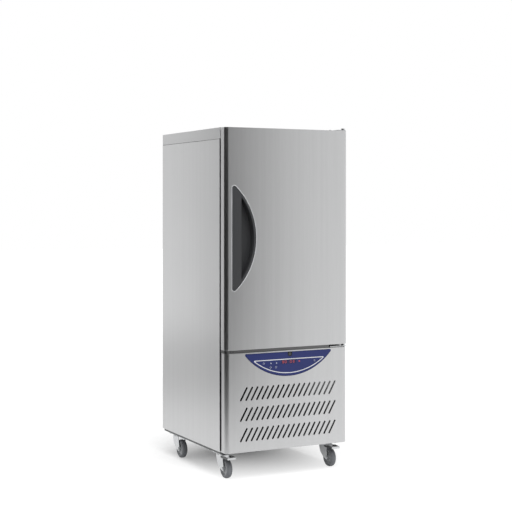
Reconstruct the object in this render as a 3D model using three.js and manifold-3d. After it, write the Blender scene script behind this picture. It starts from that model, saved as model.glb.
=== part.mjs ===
// Reach-in blast chiller on castors: a foamed steel cabinet with one chilled chamber behind a full-width
// door, and the refrigeration machinery behind a slotted panel below it.
// Millimetres, +Z up, the front faces -Y. The origin is on the floor, under the middle of the machine.

import * as THREE from "three";
import { mergeVertices } from "three/addons/utils/BufferGeometryUtils.js";
import Module from "manifold-3d";

const wasm = await Module();
wasm.setup();

// ---------------------------------------------------------------- driving dimensions

const FIT = 0.3; // gap left between pieces that seat on each other
const SHEET = 1.5; // steel sheet

// Cabinet
const CABINET_WIDTH = 720;
const CABINET_DEPTH = 748; // side panels, front edge to back
const CABINET_HEIGHT = 1655; // bottom edge of the side panels to the top
const LID_HEIGHT = 59; // band round the top
const LID_LIP = 11; // how far the lid's front leans out over the door gasket
const LID_LIP_HEIGHT = 52;
const RETURN = 25; // inward fold at a side panel's front edge
const INSULATION = 60; // foam between the cabinet's skins and the chamber
const FRAME_THICKNESS = 10; // moulded frame round the chamber's mouth
const CHAMBER_FLOOR_RISE = 60; // chamber floor above the door's bottom edge
const CHAMBER_TOP_DROP = 98; // chamber ceiling below the cabinet's top

// Base
const BASE_DROP = 13; // base rails below the side panels
const BASE_PAN = 3;
const BASE_RAIL_WIDTH = 75;
const BASE_INSET = 8;

// Door
const DOOR_THICKNESS = 52;
const DOOR_STANDOFF = 15; // door back to cabinet front, filled by the gasket
const DOOR_CORNER = 18; // radius of the upright front corners
const DOOR_TOP_GAP = 1;
const RAIL_GAP = 16; // lower front panel to door
const GASKET_INSET = 16; // gasket in from the door's sides
const GASKET_WIDTH = 36;
const GASKET_BOTTOM_INSET = 7;
const GASKET_TOP_INSET = 62;

// Handle: a half-moon cup, flat edge to the left, let into the door
const HANDLE_FROM_EDGE = 38; // door's left edge to the cup's flat edge
const HANDLE_RADIUS = 357; // of the bulging edge
const HANDLE_BULGE = 138;
const HANDLE_TIP = 13;
const HANDLE_CENTRE = 1090; // above the cabinet's bottom edge
const HANDLE_RIM = 12;
const HANDLE_DEPTH = 42;
const HANDLE_FLOOR = 3;
const GRIP_WIDTH = 53; // bar left of the finger opening
const GRIP_THICKNESS = 14;
const GRIP_BACK = 6; // cup wall behind the bar's flat edge

// Hinges, on the right
const HINGE_FROM_EDGE = 11; // pin to the door's right edge
const HINGE_FROM_BACK = 26; // pin to the door's back
const HINGE_PIN_RADIUS = 6;
const HINGE_PIN_CLEARANCE = 0.7;
const HINGE_PIN_REACH = 25; // into the door
const HINGE_PLATE = 4;
const HINGE_LENGTH = 98;
const HINGE_CAP_RADIUS = 11;
const HINGE_CAP_HEIGHT = 12;

// Lower front panel
const LOWER_PANEL_HEIGHT = 506;
const LOWER_PANEL_INSET = 3; // in from the cabinet's sides
const LOWER_PANEL_SETBACK = 2; // behind the door's face
const LOWER_PANEL_CORNER = 20;
const FRONT_CENTRE_X = 6; // slots and controls sit a little right of centre
const SLOT_COUNT = 18;
const SLOT_ROWS = 3;
const SLOT_PITCH = 30.65;
const SLOT_ROW_PITCH = 104;
const SLOT_ROW_BOTTOM = 88.5; // lowest row's middle above the panel's bottom edge
const SLOT_HEIGHT = 69;
const SLOT_LEAN = 39; // how far a slot's top stands right of its bottom
const SLOT_WIDTH = 7;

// Control panel: a half-moon plate, flat edge up
const CONTROL_RADIUS = 334;
const CONTROL_DROP = 126; // flat edge to the bottom of the bulge
const CONTROL_TIP = 7;
const CONTROL_FROM_TOP = 6.5; // below the lower panel's top edge
const CONTROL_PLATE = 1.4;
const DISPLAY_WIDTH = 88;
const DISPLAY_HEIGHT = 20;
const DISPLAY_DROP = 52; // display's middle below the plate's flat edge
const KEY_RADIUS = 7;
const KEY_TRAVEL = 0.6;
const KEY_SPOTS = {
  // each key's middle: right of the panel's centre line, and below the plate's flat edge
  key_power: [-147, 54],
  key_soft_chill: [-108, 76],
  key_hard_chill: [-75, 76],
  key_scroll: [153, 54],
};
const CONTROLLER_DEPTH = 38;
const CONTROLLER_HEIGHT = 44;
const CONTROLLER_WIDTH = 340;

// Door lock, at the control panel's top edge
const LOCK_X = 6; // right of the panel's centre line
const LOCK_DROP = 12.5; // barrel below the plate's flat edge
const LOCK_BARREL_RADIUS = 8;
const LOCK_BARREL_LENGTH = 15;
const LOCK_WALL = 2;
const LOCK_BEZEL_WIDTH = 26;
const LOCK_BEZEL_HEIGHT = 24;
const LOCK_BEZEL_PLATE = 0.6;
const LOCK_CAM_THICKNESS = 2.5;
const LOCK_CAM_LENGTH = 14;
const BOLT_WIDTH = 10;
const BOLT_THICKNESS = 6;
const BOLT_LENGTH = 54;
const BOLT_TRAVEL = 12;

// Chamber fittings
const RACK_LEVELS = 8;
const RACK_PITCH = 110;
const RACK_FIRST = 70; // first runner above the chamber floor
const RACK_FRONT = 35; // runners behind the chamber's mouth
const RACK_BACK_GAP = 5; // runners to the fan panel
const RACK_POST_INSET = 30; // posts in from the runners' ends
const RACK_LEDGE = 34;
const RACK_STOCK = 2;
const RACK_POST_WIDTH = 25;
const RACK_POST_THICKNESS = 8;
const FAN_PANEL_GAP = 40; // air way above and below the panel
const FAN_PANEL_FOLD = 25;
const FAN_SPACING = 440;
const FAN_HOLE_RADIUS = 125;
const FAN_RADIUS = 112;
const FAN_HUB_RADIUS = 28;
const FAN_BLADE_DEPTH = 28;
const FAN_BLADES = 5;
const FAN_SETBACK = 12; // impeller behind its opening
const FAN_SHAFT_RADIUS = 6;
const FAN_SHAFT = 15;
const MOTOR_RADIUS = 40;
const MOTOR_LENGTH = 55;
const MOTOR_STRAP = 4;
const MOTOR_STRAP_WIDTH = 12;
const COIL_WIDTH = 460;
const COIL_DEPTH = 75;
const COIL_HEIGHT = 820;
const COIL_RISE = 75; // above the chamber floor
const COIL_PLATE = 3;
const COIL_PLATE_OVERHANG = 8;
const COIL_TO_MOTOR = 42; // air way between the fan motors and the coil
const PROBE_FROM_SIDE = 63.5; // probe to the chamber's right wall
const PROBE_RISE = 520; // probe holder above the chamber floor
const PROBE_NEEDLE_RADIUS = 2;
const PROBE_NEEDLE = 110;
const PROBE_GRIP_RADIUS = 8;
const PROBE_GRIP = 75;
const PROBE_HOLDER = 22;

// Machinery
const COMPRESSOR_RADIUS = 88;
const COMPRESSOR_HEIGHT = 210;
const COMPRESSOR_FROM_SIDE = 160; // middle to the cabinet's left side
const COMPRESSOR_FROM_BACK = 190;
const COMPRESSOR_FOOT = 12;
const COMPRESSOR_PLATE_OVERHANG = 8;
const CONDENSER_WIDTH = 400;
const CONDENSER_DEPTH = 60;
const CONDENSER_HEIGHT = 390;
const CONDENSER_FROM_SIDE = 260; // middle to the cabinet's left side
const CONDENSER_FROM_FRONT = 20; // behind the side panels' front edge
const CONDENSER_HEADER = 22;
const CONDENSER_HEADER_INSET = 8; // header in from the fins' faces
const SHROUD_DEPTH = 45;
const SHROUD_WALL = 2;
const CONDENSER_FAN_RADIUS = 150;
const CONDENSER_HOLE_RADIUS = 165;
const POWER_BOX_WIDTH = 150;
const POWER_BOX_DEPTH = 120;
const POWER_BOX_HEIGHT = 260;
const POWER_BOX_FROM_SIDE = 35; // to the cabinet's right side
const GLAND_RADIUS = 16;
const DRAIN_RADIUS = 11;
const DRAIN_FROM_BACK = 110;
const TRAY_TO_COMPRESSOR = 64; // the tray fills the room between compressor and electrical box
const TRAY_TO_POWER_BOX = 15;
const TRAY_DEPTH = 130;
const TRAY_HEIGHT = 40;
const PIPE_RADIUS = 7;
const PIPE_RISE = 50; // discharge pipe above the compressor's stubs
const PIPE_BEND = 40; // straight run into a bend
const GRILLE_ROWS = 9;
const GRILLE_COLUMNS = 2;
const GRILLE_SLOT_WIDTH = 210;
const GRILLE_SLOT_HEIGHT = 12;
const GRILLE_PITCH = 26;

// Castors
const CASTOR_HEIGHT = 130; // floor to the base rails
const CASTOR_FROM_SIDE = 52; // swivels in from the cabinet's sides
const CASTOR_FRONT = 68; // front swivels behind the side panels' front edge
const CASTOR_BACK = 115; // rear swivels ahead of the cabinet's back
const CASTOR_TRAIL = 38;
const CASTOR_PLATE_LENGTH = 100;
const CASTOR_PLATE_WIDTH = 84;
const CASTOR_PLATE = 3;
const RACE_RADIUS = 27;
const RACE_HEIGHT = 8;
const CROWN_RADIUS = 31;
const CROWN_THICKNESS = 4;
const FORK_LEG = 3;
const FORK_GAP = 2; // wheel side to fork leg
const WHEEL_RADIUS = 50;
const WHEEL_WIDTH = 32;
const WHEEL_SIDES = 24;
const TYRE_DEPTH = 12;
const HUB_RADIUS = 14;
const AXLE_RADIUS = 5;
const FORK_LEG_BACK = 37; // behind the swivel, at the crown
const PEDAL_REACH = 103; // pedal's tip ahead of the swivel
const PEDAL_TREAD = 44;
const PEDAL_LIP = 11;
const PEDAL_STOCK = 2.5;
const PEDAL_PIVOT_RADIUS = 3;
const PEDAL_PIVOT_AHEAD = 24; // pedal pivot ahead of the swivel

// ---------------------------------------------------------------- planes worked out from them

const HALF_WIDTH = CABINET_WIDTH / 2;
const MACHINE_DEPTH = CABINET_DEPTH + DOOR_STANDOFF + DOOR_THICKNESS;
const DOOR_FACE = -MACHINE_DEPTH / 2;
const DOOR_BACK = DOOR_FACE + DOOR_THICKNESS;
const CABINET_FRONT = DOOR_BACK + DOOR_STANDOFF;
const CABINET_BACK = MACHINE_DEPTH / 2;
const BOTTOM = CASTOR_HEIGHT + BASE_DROP;
const TOP = BOTTOM + CABINET_HEIGHT;
const SEAM = TOP - LID_HEIGHT;
const LOWER_PANEL_TOP = BOTTOM + LOWER_PANEL_HEIGHT;
const LOWER_FACE = DOOR_FACE + LOWER_PANEL_SETBACK;
const SHELF_TOP = LOWER_PANEL_TOP + 2; // top of the sheet over the machine compartment
const DOOR_BOTTOM = LOWER_PANEL_TOP + RAIL_GAP;
const DOOR_TOP = TOP - DOOR_TOP_GAP;
const CHAMBER_FLOOR = DOOR_BOTTOM + CHAMBER_FLOOR_RISE;
const CHAMBER_TOP = TOP - CHAMBER_TOP_DROP;
const CHAMBER_HALF = HALF_WIDTH - INSULATION - SHEET;
const CHAMBER_BACK = CABINET_BACK - INSULATION - SHEET;
const FRAME_BACK = CABINET_FRONT + FRAME_THICKNESS;
const INNER_HALF = HALF_WIDTH - SHEET - FIT; // half the room between the side panels
const PAN_TOP = BOTTOM + BASE_PAN;
const HINGE_X = HALF_WIDTH - HINGE_FROM_EDGE;
const HINGE_Y = DOOR_BACK - HINGE_FROM_BACK;
const CONTROL_TOP = LOWER_PANEL_TOP - CONTROL_FROM_TOP;
const CONTROL_FACE = LOWER_FACE - CONTROL_PLATE;
const CONTROLLER_FRONT = LOWER_FACE + SHEET + FIT;
const LOCK_CENTRE_X = FRONT_CENTRE_X + LOCK_X;
const LOCK_CENTRE_Z = CONTROL_TOP - LOCK_DROP;
const BOLT_FRONT = CONTROL_FACE + LOCK_BARREL_LENGTH + LOCK_CAM_THICKNESS + FIT;
const DRAIN_Y = CABINET_BACK - DRAIN_FROM_BACK;
const SUCTION_Y = CHAMBER_BACK - COIL_DEPTH / 2 - COIL_PLATE_OVERHANG;
const GLAND_Z = PAN_TOP + POWER_BOX_HEIGHT / 2;
const COIL_FRONT = CHAMBER_BACK - COIL_PLATE_OVERHANG - COIL_DEPTH;
const FAN_MOTOR_REACH = FAN_SETBACK + FAN_BLADE_DEPTH + FAN_SHAFT + MOTOR_LENGTH; // behind a fan's panel
const FAN_PANEL_BACK = COIL_FRONT - COIL_TO_MOTOR - FAN_MOTOR_REACH;
const FAN_PANEL_FRONT = FAN_PANEL_BACK - SHEET;
const FAN_MIDDLE = (CHAMBER_FLOOR + CHAMBER_TOP) / 2;
const PROBE_X = CHAMBER_HALF - PROBE_FROM_SIDE;
const PROBE_Y = FAN_PANEL_FRONT - PROBE_HOLDER / 2;
const COMPRESSOR_X = -HALF_WIDTH + COMPRESSOR_FROM_SIDE;
const CONDENSER_X = -HALF_WIDTH + CONDENSER_FROM_SIDE;
const COMPRESSOR_REACH = COMPRESSOR_RADIUS + COMPRESSOR_PLATE_OVERHANG;
const POWER_BOX_X = HALF_WIDTH - POWER_BOX_FROM_SIDE - POWER_BOX_WIDTH / 2;
const TRAY_LEFT = COMPRESSOR_X + COMPRESSOR_REACH + TRAY_TO_COMPRESSOR;
const TRAY_RIGHT = POWER_BOX_X - POWER_BOX_WIDTH / 2 - TRAY_TO_POWER_BOX;
const DRAIN_X = (TRAY_LEFT + TRAY_RIGHT) / 2;
const CASTOR_X = HALF_WIDTH - CASTOR_FROM_SIDE;

// ---------------------------------------------------------------- finishes

const BRUSHED_STEEL = { color: 0xb9babb, roughness: 0.38, metalness: 0.9 };
const ZINC = { color: 0xd4d6d8, roughness: 0.3, metalness: 0.9 };
const GALVANISED = { color: 0x9ea3a6, roughness: 0.5, metalness: 0.8 };
const ALUMINIUM = { color: 0xc4c7ca, roughness: 0.45, metalness: 0.85 };
const COPPER = { color: 0xb0704a, roughness: 0.35, metalness: 0.9 };
const BLACK_ENAMEL = { color: 0x1b1c1e, roughness: 0.45, metalness: 0.2 };
const FOAM = { color: 0xe2cf9a, roughness: 0.95, metalness: 0 };
const DARK_RUBBER = { color: 0x2a2b2d, roughness: 0.8, metalness: 0 };
const GREY_TYRE = { color: 0x6f7173, roughness: 0.7, metalness: 0 };
const DARK_PLASTIC = { color: 0x4a4c4f, roughness: 0.5, metalness: 0 };
const BLACK_PLASTIC = { color: 0x1d1e20, roughness: 0.5, metalness: 0 };
const WHITE_PLASTIC = { color: 0xd9dad8, roughness: 0.6, metalness: 0 };
const BLUE_PANEL = { color: 0x30386e, roughness: 0.35, metalness: 0 };

// ---------------------------------------------------------------- solids

const machine = new THREE.Group();

function range(count) {
  return [...Array(count).keys()];
}

// A closed geometry as a solid, with its shared corners merged and its empty triangles dropped.
function solidOf(geometry) {
  const loose = geometry.index ? geometry.toNonIndexed() : geometry;
  const bare = new THREE.BufferGeometry();
  bare.setAttribute("position", loose.getAttribute("position"));
  const welded = mergeVertices(bare, 1e-4);
  const corners = welded.index.array;
  const triVerts = [];
  for (let i = 0; i < corners.length; i += 3) {
    const [a, b, c] = corners.slice(i, i + 3);
    if (a !== b && b !== c && c !== a) triVerts.push(a, b, c);
  }
  return new wasm.Manifold(
    new wasm.Mesh({
      numProp: 3,
      vertProperties: welded.getAttribute("position").array,
      triVerts: new Uint32Array(triVerts),
    }),
  );
}

function geometryOf(solid) {
  const mesh = solid.getMesh();
  const positions = new Float32Array(mesh.numVert * 3);
  for (let i = 0; i < mesh.numVert; i++) {
    positions.set(mesh.vertProperties.subarray(i * mesh.numProp, i * mesh.numProp + 3), i * 3);
  }
  const geometry = new THREE.BufferGeometry();
  geometry.setAttribute("position", new THREE.BufferAttribute(positions, 3));
  geometry.setIndex(new THREE.BufferAttribute(new Uint32Array(mesh.triVerts), 1));
  geometry.computeVertexNormals();
  return geometry;
}

// A box from its low and high ends along each axis.
function block(x, y, z) {
  const geometry = new THREE.BoxGeometry(1, 1, 1);
  const corner = geometry.getAttribute("position");
  for (const i of range(corner.count)) {
    const side = (value) => (value > 0 ? 1 : 0);
    corner.setXYZ(i, x[side(corner.getX(i))], y[side(corner.getY(i))], z[side(corner.getZ(i))]);
  }
  return solidOf(geometry);
}

// An outline drawn across an axis and pushed along it. The outline's two coordinates are the other two
// axes in X, Y, Z order.
function prism(outline, axis, ends) {
  const shape = new THREE.Shape(outline.map(([u, v]) => new THREE.Vector2(u, v)));
  const geometry = new THREE.ExtrudeGeometry(shape, { depth: 1, bevelEnabled: false });
  const corner = geometry.getAttribute("position");
  for (const i of range(corner.count)) {
    const [u, v] = [corner.getX(i), corner.getY(i)];
    const far = corner.getZ(i) > 0.5 ? 1 : 0;
    if (axis === "x") corner.setXYZ(i, ends[far], u, v);
    if (axis === "y") corner.setXYZ(i, u, ends[1 - far], v);
    if (axis === "z") corner.setXYZ(i, u, v, ends[far]);
  }
  return solidOf(geometry);
}

// Points along a circular arc, angles in degrees.
function arc(u, v, radius, from, to, steps) {
  return range(steps + 1).map((i) => {
    const angle = THREE.MathUtils.degToRad(from + ((to - from) * i) / steps);
    return [u + radius * Math.cos(angle), v + radius * Math.sin(angle)];
  });
}

function circle(u, v, radius, sides, turn = 0) {
  return arc(u, v, radius, turn, turn + 360, sides).slice(0, sides);
}

function rod(axis, [u, v], radius, ends, sides = 16) {
  return prism(circle(u, v, radius, sides, 180 / sides), axis, ends);
}

// A profile of [radius, height] points turned round an axis through the local origin.
function turned(profile, axis, sides) {
  const points = profile.map(([radius, height]) => new THREE.Vector2(radius, height));
  const geometry = new THREE.LatheGeometry(points, sides, Math.PI / sides);
  if (axis === "x") geometry.rotateZ(-Math.PI / 2);
  if (axis === "z") geometry.rotateX(Math.PI / 2);
  return solidOf(geometry);
}

// A round pipe along a smooth curve through the given points.
function pipe(points, radius, steps) {
  const path = new THREE.CatmullRomCurve3(points.map((p) => new THREE.Vector3(...p)), false, "centripetal");
  const section = new THREE.Shape(circle(0, 0, radius, 8).map(([u, v]) => new THREE.Vector2(u, v)));
  return solidOf(new THREE.ExtrudeGeometry(section, { steps, extrudePath: path, bevelEnabled: false }));
}

function join(solids) {
  return solids.reduce((whole, next) => whole.add(next));
}

function cut(solid, cutters) {
  return cutters.reduce((rest, cutter) => rest.subtract(cutter), solid);
}

function addPart(name, solid, finish, parent = machine) {
  const material = new THREE.MeshStandardMaterial({ ...finish, flatShading: true });
  const mesh = new THREE.Mesh(geometryOf(solid), material);
  mesh.name = name;
  parent.add(mesh);
  return mesh;
}

// A half moon with its flat edge on the first axis and its bulge down the second, rounded at both tips.
function halfMoon(radius, drop, tip) {
  const centre = radius - drop;
  const tipX = Math.sqrt((radius - tip) ** 2 - (tip + centre) ** 2);
  const lean = THREE.MathUtils.radToDeg(Math.atan2(-tip - centre, tipX));
  return [
    ...arc(tipX, -tip, tip, 90, lean, 6),
    ...arc(0, centre, radius, lean, -180 - lean, 26).slice(1, -1),
    ...arc(-tipX, -tip, tip, -180 - lean, -270, 6),
  ];
}

// The same half moon drawn in by a margin all round.
function insetMoon(radius, drop, tip, margin) {
  const outline = halfMoon(radius - margin, drop - 2 * margin, Math.max(tip - margin, 0.5));
  return outline.map(([u, v]) => [u, v - margin]);
}

// ---------------------------------------------------------------- cabinet

// Keeps a piece off the inward folds at the side panels' front edges.
function clearOfReturns(solid) {
  const inner = HALF_WIDTH - RETURN - FIT;
  const y = [CABINET_FRONT - FIT, CABINET_FRONT + SHEET + FIT];
  const z = [BOTTOM - 1, TOP];
  return cut(solid, [block([-HALF_WIDTH - 1, -inner], y, z), block([inner, HALF_WIDTH + 1], y, z)]);
}

function sidePanel(side) {
  const outer = side * HALF_WIDTH;
  const inner = side * (HALF_WIDTH - SHEET);
  const fold = side * (HALF_WIDTH - RETURN);
  const outline = [
    [outer, CABINET_FRONT],
    [fold, CABINET_FRONT],
    [fold, CABINET_FRONT + SHEET],
    [inner, CABINET_FRONT + SHEET],
    [inner, CABINET_BACK],
    [outer, CABINET_BACK],
  ];
  return prism(outline, "z", [BOTTOM, SEAM - FIT]);
}

function lid() {
  const lipTop = SEAM + LID_LIP_HEIGHT;
  const outline = [
    [CABINET_FRONT, TOP],
    [CABINET_FRONT, lipTop],
    [CABINET_FRONT - LID_LIP, SEAM],
    [CABINET_BACK, SEAM],
    [CABINET_BACK, TOP],
  ];
  const hollow = [
    [CABINET_FRONT + SHEET, TOP - SHEET],
    [CABINET_FRONT + SHEET, lipTop],
    [CABINET_FRONT - LID_LIP + SHEET, SEAM - 1],
    [CABINET_BACK - SHEET, SEAM - 1],
    [CABINET_BACK - SHEET, TOP - SHEET],
  ];
  const inner = HALF_WIDTH - SHEET;
  return prism(outline, "x", [-HALF_WIDTH, HALF_WIDTH]).subtract(prism(hollow, "x", [-inner, inner]));
}

function backPanel() {
  return block([-INNER_HALF, INNER_HALF], [CABINET_BACK - SHEET, CABINET_BACK], [SHELF_TOP, SEAM - FIT]);
}

function baseFrame() {
  const half = HALF_WIDTH - BASE_INSET;
  const front = CABINET_FRONT + BASE_INSET;
  const back = CABINET_BACK - BASE_INSET;
  const panFront = CABINET_FRONT + SHEET + FIT;
  const panBack = CABINET_BACK - SHEET - FIT;
  const pan = block([-INNER_HALF, INNER_HALF], [panFront, panBack], [BOTTOM, PAN_TOP]);
  const rails = block([-half, half], [front, back], [CASTOR_HEIGHT, BOTTOM]);
  const opening = [front + BASE_RAIL_WIDTH, back - BASE_RAIL_WIDTH];
  const middle = block([-half + BASE_RAIL_WIDTH, half - BASE_RAIL_WIDTH], opening, [CASTOR_HEIGHT - 1, BOTTOM]);
  return pan.add(rails.subtract(middle));
}

function boltHole(z) {
  const half = BOLT_WIDTH / 2 + FIT;
  return block(
    [LOCK_CENTRE_X - half, LOCK_CENTRE_X + half],
    [BOLT_FRONT - FIT, BOLT_FRONT + BOLT_THICKNESS + FIT],
    z,
  );
}

// The sheet over the machine compartment, with the cross rail that fills the gap under the door.
function midRail() {
  const railHalf = HALF_WIDTH - LOWER_PANEL_INSET;
  const railFront = LOWER_FACE + 6;
  const radius = LOWER_PANEL_CORNER - 6;
  const railEnd = HALF_WIDTH - HINGE_LENGTH - LOWER_PANEL_INSET - 8;
  const rail = prism(
    [
      [railEnd, CABINET_FRONT - FIT],
      [railEnd, railFront],
      ...arc(-railHalf + radius, railFront + radius, radius, 270, 180, 5),
      [-railHalf, CABINET_FRONT - FIT],
    ],
    "z",
    [SHELF_TOP - SHEET, DOOR_BOTTOM - 2],
  );
  const shelf = clearOfReturns(
    block([-INNER_HALF, INNER_HALF], [CABINET_FRONT - 40, CABINET_BACK - SHEET - FIT], [SHELF_TOP - SHEET, SHELF_TOP]),
  );
  return cut(rail.add(shelf), [
    boltHole([SHELF_TOP - 5, DOOR_BOTTOM]),
    rod("z", [DRAIN_X, DRAIN_Y], DRAIN_RADIUS + 1, [SHELF_TOP - 5, SHELF_TOP + 5], 12),
    rod("z", [COMPRESSOR_X, SUCTION_Y], PIPE_RADIUS + 1, [SHELF_TOP - 5, SHELF_TOP + 5], 12),
  ]);
}

function rearGrille() {
  const z = [PAN_TOP + FIT, SHELF_TOP - SHEET - FIT];
  const plate = block([-INNER_HALF, INNER_HALF], [CABINET_BACK - SHEET, CABINET_BACK], z);
  const middle = (z[0] + z[1]) / 2;
  const cutters = [];
  for (const row of range(GRILLE_ROWS)) {
    for (const column of range(GRILLE_COLUMNS)) {
      const x = (column - (GRILLE_COLUMNS - 1) / 2) * (GRILLE_SLOT_WIDTH + 30) - 80;
      const level = middle + (row - (GRILLE_ROWS - 1) / 2) * GRILLE_PITCH;
      cutters.push(
        block(
          [x - GRILLE_SLOT_WIDTH / 2, x + GRILLE_SLOT_WIDTH / 2],
          [CABINET_BACK - 5, CABINET_BACK + 5],
          [level - GRILLE_SLOT_HEIGHT / 2, level + GRILLE_SLOT_HEIGHT / 2],
        ),
      );
    }
  }
  cutters.push(rod("y", [POWER_BOX_X, GLAND_Z], GLAND_RADIUS + 1, [CABINET_BACK - 5, CABINET_BACK + 5]));
  return cut(plate, cutters);
}

function chamberBox(grow, front) {
  return block(
    [-CHAMBER_HALF - grow, CHAMBER_HALF + grow],
    [front, CHAMBER_BACK + grow],
    [CHAMBER_FLOOR - grow, CHAMBER_TOP + grow],
  );
}

function doorFrame() {
  const half = HALF_WIDTH - RETURN - FIT;
  const ring = block([-half, half], [CABINET_FRONT, FRAME_BACK - FIT], [SHELF_TOP + FIT, SEAM - FIT]);
  return ring.subtract(chamberBox(0, CABINET_FRONT - 5));
}

function insulation() {
  const foam = block(
    [-INNER_HALF, INNER_HALF],
    [FRAME_BACK, CABINET_BACK - SHEET - FIT],
    [SHELF_TOP + FIT, TOP - SHEET - FIT],
  );
  return cut(foam, [
    chamberBox(SHEET + FIT, FRAME_BACK - 5),
    rod("z", [DRAIN_X, DRAIN_Y], DRAIN_RADIUS + 1, [SHELF_TOP - 5, CHAMBER_FLOOR], 12),
    rod("z", [COMPRESSOR_X, SUCTION_Y], PIPE_RADIUS + 1, [SHELF_TOP - 5, CHAMBER_FLOOR], 12),
  ]);
}

function chamberLiner() {
  const around = chamberBox(SHEET, FRAME_BACK);
  return cut(around, [
    chamberBox(0, FRAME_BACK - 5),
    rod("z", [DRAIN_X, DRAIN_Y], DRAIN_RADIUS - 2, [CHAMBER_FLOOR - 5, CHAMBER_FLOOR + 5], 12),
    rod("z", [COMPRESSOR_X, SUCTION_Y], PIPE_RADIUS + 1, [CHAMBER_FLOOR - 5, CHAMBER_FLOOR + 5], 12),
  ]);
}

addPart("left_side_panel", sidePanel(-1), BRUSHED_STEEL);
addPart("right_side_panel", sidePanel(1), BRUSHED_STEEL);
addPart("top_panel", lid(), BRUSHED_STEEL);
addPart("back_panel", backPanel(), GALVANISED);
addPart("base_frame", baseFrame(), GALVANISED);
addPart("mid_rail", midRail(), BRUSHED_STEEL);
addPart("rear_grille", rearGrille(), GALVANISED);
addPart("door_frame", doorFrame(), DARK_PLASTIC);
addPart("insulation", insulation(), FOAM);
addPart("chamber_liner", chamberLiner(), BRUSHED_STEEL);

// ---------------------------------------------------------------- lower front panel and controls

// The plan of a pan with rounded upright corners at the front.
function panPlan(half, front, back, radius) {
  return [
    [half, back],
    ...arc(half - radius, front + radius, radius, 0, -90, 5),
    ...arc(-half + radius, front + radius, radius, -90, -180, 5),
    [-half, back],
  ];
}

function panelSlots() {
  const slots = [];
  for (const row of range(SLOT_ROWS)) {
    for (const i of range(SLOT_COUNT)) {
      const x = FRONT_CENTRE_X + (i - (SLOT_COUNT - 1) / 2) * SLOT_PITCH;
      const z = BOTTOM + SLOT_ROW_BOTTOM + row * SLOT_ROW_PITCH;
      const slant = Math.atan2(SLOT_LEAN, SLOT_HEIGHT);
      const [du, dv] = [Math.sin(slant), Math.cos(slant)];
      const reach = Math.hypot(SLOT_LEAN, SLOT_HEIGHT) / 2;
      const half = SLOT_WIDTH / 2;
      const outline = [
        [half, reach - half],
        [half / 2, reach],
        [-half / 2, reach],
        [-half, reach - half],
        [-half, half - reach],
        [-half / 2, -reach],
        [half / 2, -reach],
        [half, half - reach],
      ].map(([across, along]) => [x + across * dv + along * du, z - across * du + along * dv]);
      slots.push(prism(outline, "y", [LOWER_FACE - 5, LOWER_FACE + SHEET + 5]));
    }
  }
  return slots;
}

// The places where keys, display and lock come through both the control plate and the panel behind it.
function controlHoles(grow) {
  const y = [CONTROL_FACE - 5, LOWER_FACE + SHEET + 5];
  const keys = Object.values(KEY_SPOTS).map(([across, drop]) =>
    rod("y", [FRONT_CENTRE_X + across, CONTROL_TOP - drop], KEY_RADIUS + grow, y, 12),
  );
  const displayHalf = DISPLAY_WIDTH / 2 + grow;
  const displayZ = CONTROL_TOP - DISPLAY_DROP;
  const display = block(
    [FRONT_CENTRE_X - displayHalf, FRONT_CENTRE_X + displayHalf],
    y,
    [displayZ - DISPLAY_HEIGHT / 2 - grow, displayZ + DISPLAY_HEIGHT / 2 + grow],
  );
  const lock = rod("y", [LOCK_CENTRE_X, LOCK_CENTRE_Z], LOCK_BARREL_RADIUS + LOCK_WALL + grow, y, 16);
  return [...keys, display, lock];
}

function lowerFrontPanel() {
  const half = HALF_WIDTH - LOWER_PANEL_INSET;
  const radius = LOWER_PANEL_CORNER;
  const outer = prism(panPlan(half, LOWER_FACE, DOOR_BACK, radius), "z", [BOTTOM, LOWER_PANEL_TOP]);
  const inner = prism(
    panPlan(half - SHEET, LOWER_FACE + SHEET, DOOR_BACK + 5, radius - SHEET),
    "z",
    [BOTTOM + SHEET, LOWER_PANEL_TOP - SHEET],
  );
  const flangeHalf = HALF_WIDTH - RETURN;
  const flangeY = [DOOR_BACK - 20, CABINET_FRONT - FIT];
  const flanges = [
    block([-flangeHalf, flangeHalf], flangeY, [BOTTOM, BOTTOM + SHEET]),
    block([-flangeHalf, flangeHalf], flangeY, [LOWER_PANEL_TOP - SHEET, LOWER_PANEL_TOP]),
  ];
  const cutters = [...panelSlots(), ...controlHoles(FIT), boltHole([LOWER_PANEL_TOP - 5, LOWER_PANEL_TOP + 1])];
  return cut(join([outer.subtract(inner), ...flanges]), cutters);
}

function controlPanel() {
  const outline = halfMoon(CONTROL_RADIUS, CONTROL_DROP, CONTROL_TIP);
  const placed = outline.map(([u, v]) => [FRONT_CENTRE_X + u, CONTROL_TOP + v]);
  return cut(prism(placed, "y", [CONTROL_FACE, LOWER_FACE]), controlHoles(FIT));
}

// The electronic controller behind the plate, whose display window comes through it.
function controller() {
  const z = CONTROL_TOP - DISPLAY_DROP;
  const bodyZ = z - 8;
  const body = block(
    [FRONT_CENTRE_X - CONTROLLER_WIDTH / 2, FRONT_CENTRE_X + CONTROLLER_WIDTH / 2],
    [CONTROLLER_FRONT, CONTROLLER_FRONT + CONTROLLER_DEPTH],
    [bodyZ - CONTROLLER_HEIGHT / 2, bodyZ + CONTROLLER_HEIGHT / 2],
  );
  const window = block(
    [FRONT_CENTRE_X - DISPLAY_WIDTH / 2, FRONT_CENTRE_X + DISPLAY_WIDTH / 2],
    [CONTROL_FACE, CONTROLLER_FRONT + 5],
    [z - DISPLAY_HEIGHT / 2, z + DISPLAY_HEIGHT / 2],
  );
  return body.add(window);
}

// A key's back stops short of the controller by its travel.
function key([across, drop]) {
  const back = CONTROLLER_FRONT - FIT - KEY_TRAVEL;
  return rod("y", [FRONT_CENTRE_X + across, CONTROL_TOP - drop], KEY_RADIUS, [DOOR_FACE, back], 12);
}

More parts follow.
